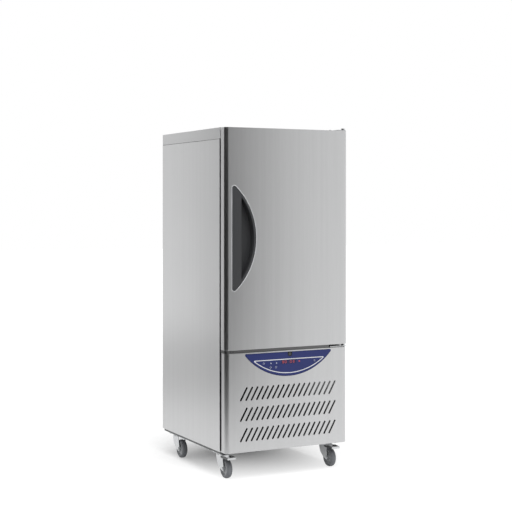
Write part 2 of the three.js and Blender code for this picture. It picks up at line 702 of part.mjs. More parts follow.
function lockBezel() {
  const half = LOCK_BEZEL_WIDTH / 2;
  const top = LOCK_CENTRE_Z + LOCK_BEZEL_HEIGHT / 2;
  const bottom = LOCK_CENTRE_Z - LOCK_BEZEL_HEIGHT / 2;
  const shield = [
    [LOCK_CENTRE_X - half, top],
    [LOCK_CENTRE_X - half, LOCK_CENTRE_Z],
    ...arc(LOCK_CENTRE_X, bottom + half, half, 200, 340, 8),
    [LOCK_CENTRE_X + half, LOCK_CENTRE_Z],
    [LOCK_CENTRE_X + half, top],
  ];
  const centre = [LOCK_CENTRE_X, LOCK_CENTRE_Z];
  const plate = prism(shield, "y", [CONTROL_FACE - LOCK_BEZEL_PLATE, CONTROL_FACE]);
  const sleeve = rod("y", centre, LOCK_BARREL_RADIUS + LOCK_WALL, [CONTROL_FACE - 0.2, CONTROL_FACE + LOCK_BARREL_LENGTH - 3]);
  const bore = rod("y", centre, LOCK_BARREL_RADIUS + FIT, [CONTROL_FACE - 5, BOLT_FRONT], 24);
  return plate.add(sleeve).subtract(bore);
}

function lockBarrel() {
  const centre = [LOCK_CENTRE_X, LOCK_CENTRE_Z];
  const back = CONTROL_FACE + LOCK_BARREL_LENGTH;
  const plug = rod("y", centre, LOCK_BARREL_RADIUS, [CONTROL_FACE - LOCK_BEZEL_PLATE + 0.2, back], 24);
  const cam = block(
    [LOCK_CENTRE_X - LOCK_CAM_LENGTH, LOCK_CENTRE_X + 5],
    [back - 0.5, back + LOCK_CAM_THICKNESS],
    [LOCK_CENTRE_Z - 5, LOCK_CENTRE_Z + 5],
  );
  const keyway = block(
    [LOCK_CENTRE_X - 1, LOCK_CENTRE_X + 1],
    [CONTROL_FACE - 5, CONTROL_FACE + 6],
    [LOCK_CENTRE_Z - 4, LOCK_CENTRE_Z + 4],
  );
  return plug.add(cam).subtract(keyway);
}

function lockBolt() {
  const top = DOOR_BOTTOM - 2.5;
  return block(
    [LOCK_CENTRE_X - BOLT_WIDTH / 2, LOCK_CENTRE_X + BOLT_WIDTH / 2],
    [BOLT_FRONT, BOLT_FRONT + BOLT_THICKNESS],
    [top - BOLT_LENGTH, top],
  );
}

addPart("lower_front_panel", lowerFrontPanel(), BRUSHED_STEEL);
addPart("control_panel", controlPanel(), BLUE_PANEL);
addPart("controller", controller(), BLACK_PLASTIC);
for (const [name, spot] of Object.entries(KEY_SPOTS)) {
  addPart(name, key(spot), BLUE_PANEL);
}
addPart("lock_bezel", lockBezel(), BLACK_PLASTIC);
addPart("lock_barrel", lockBarrel(), ZINC);
addPart("lock_bolt", lockBolt(), ZINC);

// ---------------------------------------------------------------- door

// The handle's half moon, bulge to the right, drawn in by a margin.
function handleOutline(margin) {
  const left = -HALF_WIDTH + HANDLE_FROM_EDGE;
  const centre = BOTTOM + HANDLE_CENTRE;
  return insetMoon(HANDLE_RADIUS, HANDLE_BULGE, HANDLE_TIP, margin).map(([u, v]) => [left - v, centre + u]);
}

function boltPocket() {
  return boltHole([DOOR_BOTTOM - 1, DOOR_BOTTOM + BOLT_TRAVEL]);
}

function hingePockets() {
  const radius = HINGE_PIN_RADIUS + HINGE_PIN_CLEARANCE;
  const centre = [HINGE_X, HINGE_Y];
  return [
    rod("z", centre, radius, [DOOR_BOTTOM - 1, DOOR_BOTTOM + HINGE_PIN_REACH + 2]),
    rod("z", centre, radius, [DOOR_TOP - HINGE_PIN_REACH - 2, DOOR_TOP + 1]),
  ];
}

function doorOuter() {
  const shell = prism(panPlan(HALF_WIDTH, DOOR_FACE, DOOR_BACK, DOOR_CORNER), "z", [DOOR_BOTTOM, DOOR_TOP]);
  const hollow = prism(
    panPlan(HALF_WIDTH - SHEET, DOOR_FACE + SHEET, DOOR_BACK + 5, DOOR_CORNER - SHEET),
    "z",
    [DOOR_BOTTOM + SHEET, DOOR_TOP - SHEET],
  );
  const handle = prism(handleOutline(-FIT), "y", [DOOR_FACE - 5, DOOR_FACE + 10]);
  return cut(shell, [hollow, handle, boltPocket(), ...hingePockets()]);
}

function doorFoam() {
  const gap = SHEET + FIT;
  const foam = prism(
    panPlan(HALF_WIDTH - gap, DOOR_FACE + gap, DOOR_BACK - gap, DOOR_CORNER - gap),
    "z",
    [DOOR_BOTTOM + gap, DOOR_TOP - gap],
  );
  const handle = prism(handleOutline(-FIT), "y", [DOOR_FACE - 5, DOOR_FACE + HANDLE_DEPTH + FIT]);
  return cut(foam, [handle, boltPocket(), ...hingePockets()]);
}

function doorLiner() {
  const half = HALF_WIDTH - SHEET - FIT;
  return block([-half, half], [DOOR_BACK - SHEET, DOOR_BACK], [DOOR_BOTTOM + SHEET + FIT, DOOR_TOP - SHEET - FIT]);
}

function doorGasket() {
  const half = HALF_WIDTH - GASKET_INSET;
  const y = [DOOR_BACK, CABINET_FRONT - FIT];
  const z = [DOOR_BOTTOM + GASKET_BOTTOM_INSET, DOOR_TOP - GASKET_TOP_INSET];
  const inner = half - GASKET_WIDTH;
  const window = block([-inner, inner], [y[0] - 5, y[1] + 5], [z[0] + GASKET_WIDTH, z[1] - GASKET_WIDTH]);
  return block([-half, half], y, z).subtract(window);
}

function doorHandle() {
  const back = DOOR_FACE + HANDLE_DEPTH;
  const body = prism(handleOutline(0), "y", [DOOR_FACE, back]);
  const left = -HALF_WIDTH + HANDLE_FROM_EDGE;
  const pocket = prism(handleOutline(HANDLE_RIM), "y", [DOOR_FACE - 5, back - HANDLE_FLOOR]);
  const centre = BOTTOM + HANDLE_CENTRE;
  const z = [centre - HANDLE_RADIUS, centre + HANDLE_RADIUS];
  const grip = block([left - 1, left + GRIP_WIDTH], [DOOR_FACE - 10, DOOR_FACE + GRIP_THICKNESS], z);
  const edge = block([left - 1, left + GRIP_BACK], [DOOR_FACE - 10, back + 1], z);
  return body.subtract(cut(pocket, [grip, edge]));
}

addPart("door_outer", doorOuter(), BRUSHED_STEEL);
addPart("door_foam", doorFoam(), FOAM);
addPart("door_liner", doorLiner(), BRUSHED_STEEL);
addPart("door_gasket", doorGasket(), DARK_RUBBER);
addPart("door_handle", doorHandle(), DARK_PLASTIC);

// ---------------------------------------------------------------- hinges

function hingeBottom() {
  const x = [HALF_WIDTH - LOWER_PANEL_INSET - HINGE_LENGTH, HALF_WIDTH - LOWER_PANEL_INSET];
  const centre = [HINGE_X, HINGE_Y];
  return join([
    block(x, [HINGE_Y - 18, CABINET_FRONT - FIT], [SHELF_TOP + FIT, SHELF_TOP + FIT + HINGE_PLATE]),
    rod("z", centre, HINGE_CAP_RADIUS, [SHELF_TOP + HINGE_PLATE, DOOR_BOTTOM - FIT]),
    rod("z", centre, HINGE_PIN_RADIUS, [DOOR_BOTTOM - 1, DOOR_BOTTOM + HINGE_PIN_REACH]),
  ]);
}

function hingeTop() {
  const centre = [HINGE_X, HINGE_Y];
  const x = [HINGE_X - 42, HINGE_X + HINGE_CAP_RADIUS];
  return join([
    block(x, [HINGE_Y - HINGE_CAP_RADIUS, CABINET_FRONT + 60], [TOP + FIT, TOP + HINGE_PLATE]),
    rod("z", centre, HINGE_CAP_RADIUS, [TOP + 1, TOP + HINGE_CAP_HEIGHT]),
    rod("z", centre, HINGE_PIN_RADIUS, [DOOR_TOP - HINGE_PIN_REACH, TOP + 2]),
  ]);
}

addPart("hinge_bottom", hingeBottom(), ZINC);
addPart("hinge_top", hingeTop(), ZINC);

// ---------------------------------------------------------------- chamber fittings

function rack(side) {
  const wall = side * (CHAMBER_HALF - FIT);
  const postFace = wall - side * RACK_POST_THICKNESS;
  const pair = (a, b) => [Math.min(a, b), Math.max(a, b)];
  const front = FRAME_BACK + RACK_FRONT;
  const back = FAN_PANEL_FRONT - RACK_BACK_GAP;
  const z = [CHAMBER_FLOOR + FIT, CHAMBER_FLOOR + RACK_FIRST + (RACK_LEVELS - 1) * RACK_PITCH + RACK_STOCK];
  const posts = [front + RACK_POST_INSET, back - RACK_POST_INSET - RACK_POST_WIDTH].map((y) =>
    block(pair(wall, postFace), [y, y + RACK_POST_WIDTH], z),
  );
  const runners = range(RACK_LEVELS).map((level) => {
    const ledge = CHAMBER_FLOOR + RACK_FIRST + level * RACK_PITCH;
    const root = postFace + side * 1;
    return block(pair(root, root - side * RACK_LEDGE), [front, back], [ledge, ledge + RACK_STOCK]);
  });
  return join([...posts, ...runners]);
}

function fanCentres() {
  return { lower: FAN_MIDDLE - FAN_SPACING / 2, upper: FAN_MIDDLE + FAN_SPACING / 2 };
}

// The baffle in front of the evaporator, folded back at both sides, with a clip for the food probe.
function fanPanel() {
  const half = CHAMBER_HALF - FIT;
  const foldBack = FAN_PANEL_BACK + FAN_PANEL_FOLD;
  const plan = [
    [-half, FAN_PANEL_FRONT],
    [half, FAN_PANEL_FRONT],
    [half, foldBack],
    [half - SHEET, foldBack],
    [half - SHEET, FAN_PANEL_BACK],
    [-half + SHEET, FAN_PANEL_BACK],
    [-half + SHEET, foldBack],
    [-half, foldBack],
  ];
  const plate = prism(plan, "z", [CHAMBER_FLOOR + FAN_PANEL_GAP, CHAMBER_TOP - FAN_PANEL_GAP]);
  const holes = Object.values(fanCentres()).map((level) =>
    rod("y", [0, level], FAN_HOLE_RADIUS, [FAN_PANEL_FRONT - 5, FAN_PANEL_BACK + 5], 32),
  );
  const clipZ = CHAMBER_FLOOR + PROBE_RISE;
  const clip = block(
    [PROBE_X - PROBE_HOLDER / 2, PROBE_X + PROBE_HOLDER / 2],
    [FAN_PANEL_FRONT - PROBE_HOLDER, FAN_PANEL_FRONT + 1],
    [clipZ - PROBE_HOLDER, clipZ],
  );
  const needleHole = rod("z", [PROBE_X, PROBE_Y], PROBE_NEEDLE_RADIUS + 0.5, [clipZ - PROBE_HOLDER - 1, clipZ + 1], 8);
  return cut(plate, holes).add(clip).subtract(needleHole);
}

function coreProbe() {
  const clipZ = CHAMBER_FLOOR + PROBE_RISE;
  const centre = [PROBE_X, PROBE_Y];
  const gripBottom = clipZ + FIT;
  return join([
    rod("z", centre, PROBE_NEEDLE_RADIUS, [gripBottom - PROBE_NEEDLE, gripBottom + 5], 8),
    rod("z", centre, PROBE_GRIP_RADIUS, [gripBottom, gripBottom + PROBE_GRIP], 12),
  ]);
}

// Blades and hub in one, turning round Y. The hub's stub shaft reaches back to the motor's face.
function impeller(radius, x, z, front) {
  const back = front + FAN_BLADE_DEPTH;
  const hub = rod("y", [x, z], FAN_HUB_RADIUS, [front, back]);
  const shaft = rod("y", [x, z], FAN_SHAFT_RADIUS, [back - 1, back + FAN_SHAFT - FIT], 12);
  const blades = range(FAN_BLADES).map((i) => {
    const blade = new THREE.BoxGeometry(radius - FAN_HUB_RADIUS + 8, 2.5, radius * 0.75);
    blade.rotateX(Math.atan2(FAN_BLADE_DEPTH - 8, radius * 0.75));
    blade.translate((radius + FAN_HUB_RADIUS - 8) / 2 - 1.5, 0, 0);
    blade.rotateY((2 * Math.PI * i) / FAN_BLADES);
    blade.translate(x, (front + back) / 2, z);
    return solidOf(blade);
  });
  const sweep = rod("y", [x, z], radius, [front, back], 40);
  return join([hub, shaft, ...blades.map((blade) => blade.intersect(sweep))]);
}

// A motor carried by two crossed straps, whose ends stand on a panel's back face.
function fanMotor(x, z, panelBack, reach) {
  const front = panelBack + FAN_SETBACK + FAN_BLADE_DEPTH + FAN_SHAFT;
  const strap = [
    [-reach, panelBack + FIT],
    [-reach + MOTOR_STRAP, panelBack + FIT],
    [-reach + MOTOR_STRAP, front + 2],
    [reach - MOTOR_STRAP, front + 2],
    [reach - MOTOR_STRAP, panelBack + FIT],
    [reach, panelBack + FIT],
    [reach, front + 2 + MOTOR_STRAP],
    [-reach, front + 2 + MOTOR_STRAP],
  ];
  const half = MOTOR_STRAP_WIDTH / 2;
  return join([
    rod("y", [x, z], MOTOR_RADIUS, [front, front + MOTOR_LENGTH]),
    prism(strap.map(([along, y]) => [x + along, y]), "z", [z - half, z + half]),
    prism(strap.map(([along, y]) => [y, z - along]), "x", [x - half, x + half]),
  ]);
}

function evaporatorCoil() {
  const z = [CHAMBER_FLOOR + COIL_RISE, CHAMBER_FLOOR + COIL_RISE + COIL_HEIGHT];
  const half = COIL_WIDTH / 2;
  const fins = block([-half, half], [COIL_FRONT, COIL_FRONT + COIL_DEPTH], z);
  const plates = [-1, 1].map((side) =>
    block(
      [Math.min(side * half, side * (half + COIL_PLATE)), Math.max(side * half, side * (half + COIL_PLATE))],
      [COIL_FRONT - COIL_PLATE_OVERHANG, CHAMBER_BACK - FIT],
      [z[0] - COIL_PLATE_OVERHANG, z[1] + COIL_PLATE_OVERHANG],
    ),
  );
  const feet = [-1, 1].map((side) =>
    block(
      [Math.min(side * half, side * (half - 20)), Math.max(side * half, side * (half - 20))],
      [CHAMBER_BACK - COIL_PLATE_OVERHANG - 2, CHAMBER_BACK - FIT],
      z,
    ),
  );
  return join([fins, ...plates, ...feet]);
}

addPart("rack_left", rack(-1), ZINC);
addPart("rack_right", rack(1), ZINC);
addPart("fan_panel", fanPanel(), BRUSHED_STEEL);
addPart("core_probe", coreProbe(), BLACK_PLASTIC);
addPart("evaporator_coil", evaporatorCoil(), ALUMINIUM);
for (const [level, height] of Object.entries(fanCentres())) {
  addPart("evaporator_fan_" + level, impeller(FAN_RADIUS, 0, height, FAN_PANEL_BACK + FAN_SETBACK), BLACK_PLASTIC);
  addPart("evaporator_motor_" + level, fanMotor(0, height, FAN_PANEL_BACK, FAN_HOLE_RADIUS + 12), BLACK_ENAMEL);
}

// ---------------------------------------------------------------- machinery

const COMPRESSOR_Y = CABINET_BACK - COMPRESSOR_FROM_BACK;
const COMPRESSOR_BOTTOM = PAN_TOP + COMPRESSOR_FOOT;
const COMPRESSOR_TOP = COMPRESSOR_BOTTOM + COMPRESSOR_HEIGHT;
const STUB_TOP = COMPRESSOR_TOP + 12;
const DISCHARGE_X = COMPRESSOR_X + 40;
const DISCHARGE_Y = COMPRESSOR_Y - 30;
const CONDENSER_FRONT = CABINET_FRONT + CONDENSER_FROM_FRONT;
const CONDENSER_BACK = CONDENSER_FRONT + CONDENSER_DEPTH;
const SHROUD_BACK = CONDENSER_BACK + SHROUD_DEPTH;
const CONDENSER_BOTTOM = PAN_TOP + FIT;
const CONDENSER_MIDDLE = CONDENSER_BOTTOM + CONDENSER_HEIGHT / 2;
const HEADER_X = CONDENSER_X - CONDENSER_WIDTH / 2 - CONDENSER_HEADER / 2;

function compressor() {
  const crown = COMPRESSOR_RADIUS * 0.55;
  const profile = [
    [0, 0],
    [crown, 0],
    [COMPRESSOR_RADIUS, 35],
    [COMPRESSOR_RADIUS, COMPRESSOR_HEIGHT * 0.48],
    [COMPRESSOR_RADIUS + 3, COMPRESSOR_HEIGHT * 0.5],
    [COMPRESSOR_RADIUS, COMPRESSOR_HEIGHT * 0.52],
    [COMPRESSOR_RADIUS, COMPRESSOR_HEIGHT - 40],
    [crown, COMPRESSOR_HEIGHT - 6],
    [0, COMPRESSOR_HEIGHT],
  ];
  const shell = turned(profile, "z", 20).translate([COMPRESSOR_X, COMPRESSOR_Y, COMPRESSOR_BOTTOM]);
  const plate = block(
    [COMPRESSOR_X - COMPRESSOR_REACH, COMPRESSOR_X + COMPRESSOR_REACH],
    [COMPRESSOR_Y - 40, COMPRESSOR_Y + 40],
    [COMPRESSOR_BOTTOM - 2, COMPRESSOR_BOTTOM + 4],
  );
  const feet = [-1, 1].flatMap((a) =>
    [-1, 1].map((b) => {
      const centre = [COMPRESSOR_X + a * (COMPRESSOR_REACH - 14), COMPRESSOR_Y + b * 26];
      return rod("z", centre, 11, [PAN_TOP + FIT, COMPRESSOR_BOTTOM], 12);
    }),
  );
  const suction = rod("z", [COMPRESSOR_X, COMPRESSOR_Y], PIPE_RADIUS + 2, [COMPRESSOR_TOP - 20, STUB_TOP], 12);
  const discharge = rod("z", [DISCHARGE_X, DISCHARGE_Y], PIPE_RADIUS + 2, [COMPRESSOR_TOP - 60, STUB_TOP], 12);
  return join([shell, plate, ...feet, suction, discharge]);
}

function condenserCoil() {
  const z = [CONDENSER_BOTTOM, CONDENSER_BOTTOM + CONDENSER_HEIGHT];
  const x = [CONDENSER_X - CONDENSER_WIDTH / 2, CONDENSER_X + CONDENSER_WIDTH / 2];
  const fins = block(x, [CONDENSER_FRONT, CONDENSER_BACK], z);
  const header = block(
    [x[0] - CONDENSER_HEADER, x[0] + 1],
    [CONDENSER_FRONT + CONDENSER_HEADER_INSET, CONDENSER_BACK - CONDENSER_HEADER_INSET],
    [z[0] + 10, z[1] - 10],
  );
  return fins.add(header);
}

function condenserShroud() {
  const x = [CONDENSER_X - CONDENSER_WIDTH / 2, CONDENSER_X + CONDENSER_WIDTH / 2];
  const z = [CONDENSER_BOTTOM, CONDENSER_BOTTOM + CONDENSER_HEIGHT];
  const y = [CONDENSER_BACK + FIT, SHROUD_BACK];
  const hollow = block(
    [x[0] + SHROUD_WALL, x[1] - SHROUD_WALL],
    [y[0] - 5, y[1] - SHROUD_WALL],
    [z[0] + SHROUD_WALL, z[1] - SHROUD_WALL],
  );
  const mouth = rod("y", [CONDENSER_X, CONDENSER_MIDDLE], CONDENSER_HOLE_RADIUS, [y[0], y[1] + 5], 32);
  return cut(block(x, y, z), [hollow, mouth]);
}

// The electrical box, with the mains gland that comes through the rear grille.
function powerBox() {
  const back = CABINET_BACK - SHEET - 6;
  const box = block(
    [POWER_BOX_X - POWER_BOX_WIDTH / 2, POWER_BOX_X + POWER_BOX_WIDTH / 2],
    [back - POWER_BOX_DEPTH, back],
    [PAN_TOP + FIT, PAN_TOP + POWER_BOX_HEIGHT],
  );
  const gland = rod("y", [POWER_BOX_X, GLAND_Z], GLAND_RADIUS, [back - 1, CABINET_BACK]);
  return box.add(gland);
}

function evaporationTray() {
  const x = [TRAY_LEFT, TRAY_RIGHT];
  const y = [DRAIN_Y - TRAY_DEPTH / 2, DRAIN_Y + TRAY_DEPTH / 2];
  const z = [PAN_TOP + FIT, PAN_TOP + TRAY_HEIGHT];
  const hollow = block([x[0] + 2, x[1] - 2], [y[0] + 2, y[1] - 2], [z[0] + 2, z[1] + 5]);
  return block(x, y, z).subtract(hollow);
}

function drainPipe() {
  return rod("z", [DRAIN_X, DRAIN_Y], DRAIN_RADIUS, [PAN_TOP + TRAY_HEIGHT - 15, CHAMBER_FLOOR - SHEET - FIT], 12);
}

function suctionPipe() {
  const coilBottom = CHAMBER_FLOOR + COIL_RISE - FIT;
  const bend = SHELF_TOP - 60;
  const middle = (COMPRESSOR_Y + SUCTION_Y) / 2;
  const points = [
    [COMPRESSOR_X, COMPRESSOR_Y, STUB_TOP + FIT],
    [COMPRESSOR_X, COMPRESSOR_Y, STUB_TOP + 60],
    [COMPRESSOR_X, middle, (STUB_TOP + 60 + bend) / 2],
    [COMPRESSOR_X, SUCTION_Y, bend],
    [COMPRESSOR_X, SUCTION_Y, SHELF_TOP - 20],
    [COMPRESSOR_X, SUCTION_Y, CHAMBER_FLOOR],
    [COMPRESSOR_X, SUCTION_Y, coilBottom],
  ];
  return pipe(points, PIPE_RADIUS, 18);
}

function dischargePipe() {
  const level = STUB_TOP + PIPE_RISE;
  const headerBack = CONDENSER_BACK - CONDENSER_HEADER_INSET;
  const middle = (DISCHARGE_Y + headerBack) / 2;
  const points = [
    [DISCHARGE_X, DISCHARGE_Y, STUB_TOP + FIT],
    [DISCHARGE_X, DISCHARGE_Y, STUB_TOP + PIPE_RISE / 2],
    [DISCHARGE_X - PIPE_BEND, DISCHARGE_Y - PIPE_BEND, level],
    [HEADER_X + PIPE_BEND / 2, middle + PIPE_BEND, level],
    [HEADER_X, middle - PIPE_BEND, level],
    [HEADER_X, headerBack + PIPE_BEND, level],
    [HEADER_X, headerBack + FIT, level],
  ];
  return pipe(points, PIPE_RADIUS, 18);
}

addPart("compressor", compressor(), BLACK_ENAMEL);
addPart("condenser_coil", condenserCoil(), ALUMINIUM);
addPart("condenser_shroud", condenserShroud(), GALVANISED);
addPart(
  "condenser_fan",
  impeller(CONDENSER_FAN_RADIUS, CONDENSER_X, CONDENSER_MIDDLE, SHROUD_BACK + FAN_SETBACK),
  BLACK_PLASTIC,
);
addPart(
  "condenser_motor",
  fanMotor(CONDENSER_X, CONDENSER_MIDDLE, SHROUD_BACK, CONDENSER_HOLE_RADIUS + 12),
  BLACK_ENAMEL,
);
addPart("power_box", powerBox(), GALVANISED);
addPart("evaporation_tray", evaporationTray(), WHITE_PLASTIC);
addPart("drain_pipe", drainPipe(), WHITE_PLASTIC);
addPart("suction_pipe", suctionPipe(), COPPER);
addPart("discharge_pipe", dischargePipe(), COPPER);

// ---------------------------------------------------------------- castors

// A wheel of straight facets stands on one of them, so its axle is that facet's distance up.
const AXLE_HEIGHT = WHEEL_RADIUS * Math.cos(Math.PI / WHEEL_SIDES);
const RACE_BOTTOM = CASTOR_HEIGHT - FIT - CASTOR_PLATE - RACE_HEIGHT;
const CROWN_TOP = RACE_BOTTOM - FIT;
const LEG_INNER = WHEEL_WIDTH / 2 + FORK_GAP;
const LEG_OUTER = LEG_INNER + FORK_LEG;
const PIVOT_HEIGHT = CROWN_TOP - CROWN_THICKNESS - PEDAL_PIVOT_RADIUS - 4;

function castorPlate() {
  const top = CASTOR_HEIGHT - FIT;
  const plate = block(
    [-CASTOR_PLATE_WIDTH / 2, CASTOR_PLATE_WIDTH / 2],
    [-CASTOR_PLATE_LENGTH / 2, CASTOR_PLATE_LENGTH / 2],
    [top - CASTOR_PLATE, top],
  );
  return plate.add(rod("z", [0, 0], RACE_RADIUS, [RACE_BOTTOM, top - 1], 20));
}

// Crown, two legs and the axle bolt through the wheel. The wheel trails towards -Y.
function castorFork(withPedal) {
  const crown = rod("z", [0, 0], CROWN_RADIUS, [CROWN_TOP - CROWN_THICKNESS, CROWN_TOP], 20);
  const leg = [
    [FORK_LEG_BACK, CROWN_TOP - 1],
    [-CROWN_RADIUS - 4, CROWN_TOP - 1],
    [-CASTOR_TRAIL - 5, AXLE_HEIGHT + 30],
    ...arc(-CASTOR_TRAIL, AXLE_HEIGHT, 12, 160, 290, 5),
    [-6, AXLE_HEIGHT - 2],
    [FORK_LEG_BACK - 14, AXLE_HEIGHT + 20],
    [FORK_LEG_BACK, CROWN_TOP - 22],
  ];
  const pieces = [crown];
  for (const side of [-1, 1]) {
    pieces.push(prism(leg, "x", [side * LEG_INNER, side * LEG_OUTER].sort((a, b) => a - b)));
  }
  pieces.push(rod("x", [-CASTOR_TRAIL, AXLE_HEIGHT], AXLE_RADIUS, [-LEG_OUTER - 3, LEG_OUTER + 3], 12));
  if (withPedal) {
    const reach = LEG_OUTER + PEDAL_STOCK + 1.5;
    for (const side of [-1, 1]) {
      const x = [side * (LEG_OUTER - 1), side * reach].sort((a, b) => a - b);
      pieces.push(rod("x", [-PEDAL_PIVOT_AHEAD, PIVOT_HEIGHT], PEDAL_PIVOT_RADIUS, x, 12));
    }
  }
  return join(pieces);
}

function castorWheel() {
  const half = WHEEL_WIDTH / 2;
  const rim = WHEEL_RADIUS - TYRE_DEPTH;
  const bore = AXLE_RADIUS + 0.6;
  const profile = [
    [bore, -half],
    [HUB_RADIUS, -half],
    [rim - 3, 6 - half],
    [rim, 1 - half],
    [WHEEL_RADIUS, 8 - half],
    [WHEEL_RADIUS, half - 8],
    [rim, half - 1],
    [rim - 3, half - 6],
    [HUB_RADIUS, half],
    [bore, half],
    [bore, -half],
  ];
  return turned(profile, "x", WHEEL_SIDES);
}

// A toe pedal: two ears on the fork's pivots, and between their tips a tread with an upturned lip.
function castorPedal() {
  const inner = LEG_OUTER + FIT;
  const outer = inner + PEDAL_STOCK;
  const low = PIVOT_HEIGHT - PEDAL_PIVOT_RADIUS - 2;
  const heel = -PEDAL_PIVOT_AHEAD + PEDAL_PIVOT_RADIUS + 3;
  const knee = -CROWN_RADIUS - 5;
  const ear = [
    [heel, low + 1],
    [heel, low + 10.5],
    [knee, low + 11],
    [-PEDAL_REACH + PEDAL_TREAD, low + PEDAL_LIP + 4],
    [-PEDAL_REACH, low + PEDAL_LIP + 2],
    [-PEDAL_REACH, low + 2],
  ];
  const tread = [
    [-PEDAL_REACH + PEDAL_TREAD, low + 2],
    [-PEDAL_REACH + PEDAL_TREAD, low + 2 + PEDAL_STOCK],
    [-PEDAL_REACH + PEDAL_STOCK, low + 2 + PEDAL_STOCK],
    [-PEDAL_REACH + PEDAL_STOCK, low + 2 + PEDAL_LIP],
    [-PEDAL_REACH, low + 2 + PEDAL_LIP],
    [-PEDAL_REACH, low + 2],
  ];
  const ears = [-1, 1].map((side) => {
    const x = [side * inner, side * outer].sort((a, b) => a - b);
    const hole = rod("x", [-PEDAL_PIVOT_AHEAD, PIVOT_HEIGHT], PEDAL_PIVOT_RADIUS + 0.5, [x[0] - 1, x[1] + 1], 12);
    return prism(ear, "x", x).subtract(hole);
  });
  return join([...ears, prism(tread, "x", [-outer, outer])]);
}

const CASTOR_SPOTS = {
  front_left: [-CASTOR_X, CABINET_FRONT + CASTOR_FRONT, true],
  front_right: [CASTOR_X, CABINET_FRONT + CASTOR_FRONT, true],
  rear_left: [-CASTOR_X, CABINET_BACK - CASTOR_BACK, false],
  rear_right: [CASTOR_X, CABINET_BACK - CASTOR_BACK, false],
};

for (const [corner, [x, y, braked]] of Object.entries(CASTOR_SPOTS)) {
  const castor = new THREE.Group();
  castor.position.set(x, y, 0);
  addPart("castor_plate_" + corner, castorPlate(), ZINC, castor);
  addPart("castor_fork_" + corner, castorFork(braked), ZINC, castor);
  const wheel = addPart("castor_wheel_" + corner, castorWheel(), GREY_TYRE, castor);
  wheel.position.set(0, -CASTOR_TRAIL, AXLE_HEIGHT);
  if (braked) addPart("castor_pedal_" + corner, castorPedal(), ZINC, castor);
  machine.add(castor);
}

export default machine;
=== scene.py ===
import math
from functools import cached_property

import bmesh
import bpy
from bpy.props import FloatProperty, FloatVectorProperty, IntProperty, PointerProperty
from mathutils import Matrix, Vector


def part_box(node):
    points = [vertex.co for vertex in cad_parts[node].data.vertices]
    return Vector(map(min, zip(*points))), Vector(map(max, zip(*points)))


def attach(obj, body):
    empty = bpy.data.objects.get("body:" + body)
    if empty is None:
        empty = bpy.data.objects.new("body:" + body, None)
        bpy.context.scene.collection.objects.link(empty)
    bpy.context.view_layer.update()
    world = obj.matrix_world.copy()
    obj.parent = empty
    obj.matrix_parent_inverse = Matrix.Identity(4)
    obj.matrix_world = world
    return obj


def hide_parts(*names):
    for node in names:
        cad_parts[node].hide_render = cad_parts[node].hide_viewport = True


bl_info = {
    "name": "Blast Chiller",
    "version": (1, 0, 0),
    "blender": (4, 5, 0),
    "location": "3D View > Sidebar > Chiller",
    "description": "Builds a reach-in blast chiller on castors, piece by piece, and a plain studio round it",
    "category": "Add Mesh",
}

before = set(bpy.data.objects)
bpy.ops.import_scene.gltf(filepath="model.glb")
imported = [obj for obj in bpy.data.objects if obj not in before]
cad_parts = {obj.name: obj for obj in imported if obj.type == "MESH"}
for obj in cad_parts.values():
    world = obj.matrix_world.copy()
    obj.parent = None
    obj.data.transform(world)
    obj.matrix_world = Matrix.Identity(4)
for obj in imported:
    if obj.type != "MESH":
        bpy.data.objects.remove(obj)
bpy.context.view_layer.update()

MM = 0.001
TOUCH = 1e-5  # metres within which two places count as one
THROUGH = 5 * MM  # how far a cutter stands out of what it cuts
SEAT = 0.3 * MM  # gap that the frame keeps between seated pieces
FORWARD = Vector((0, -1, 0))
BACKWARD = Vector((0, 1, 0))
RIGHT = Vector((1, 0, 0))
UP = Vector((0, 0, 1))


class Extent:
    """Where a CAD node lies at rest: its two corners, middle and size."""

    def __init__(self, node):
        self.low, self.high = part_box(node)
        self.middle = (self.low + self.high) / 2
        self.size = self.high - self.low


SIDE = Extent("left_side_panel")
LID = Extent("top_panel")
LINER = Extent("chamber_liner")
DOOR = Extent("door_outer")
HANDLE = Extent("door_handle")
LOWER = Extent("lower_front_panel")
CONTROL = Extent("control_panel")
CONTROLLER = Extent("controller")
BEZEL = Extent("lock_bezel")
BARREL = Extent("lock_barrel")
BOLT = Extent("lock_bolt")
HINGE = Extent("hinge_top")
HINGE_CAP = 11 * MM
KEYS = ("key_power", "key_soft_chill", "key_hard_chill", "key_scroll")
CASTORS = ("front_left", "front_right", "rear_left", "rear_right")
BRAKED = ("front_left", "front_right")


# ---------------------------------------------------------------- sizes, colours and studio


def length(name, description, default):
    return FloatProperty(
        name=name, description=description, default=default, min=0, unit="LENGTH", precision=5
    )


def colour(name, description, default):
    return FloatVectorProperty(
        name=name, description=description, default=default, subtype="COLOR", min=0, max=1
    )


def turn(name, description, degrees):
    return FloatProperty(name=name, description=description, default=math.radians(degrees), subtype="ANGLE")


def strength(name, description, default):
    return FloatProperty(name=name, description=description, default=default, min=0)


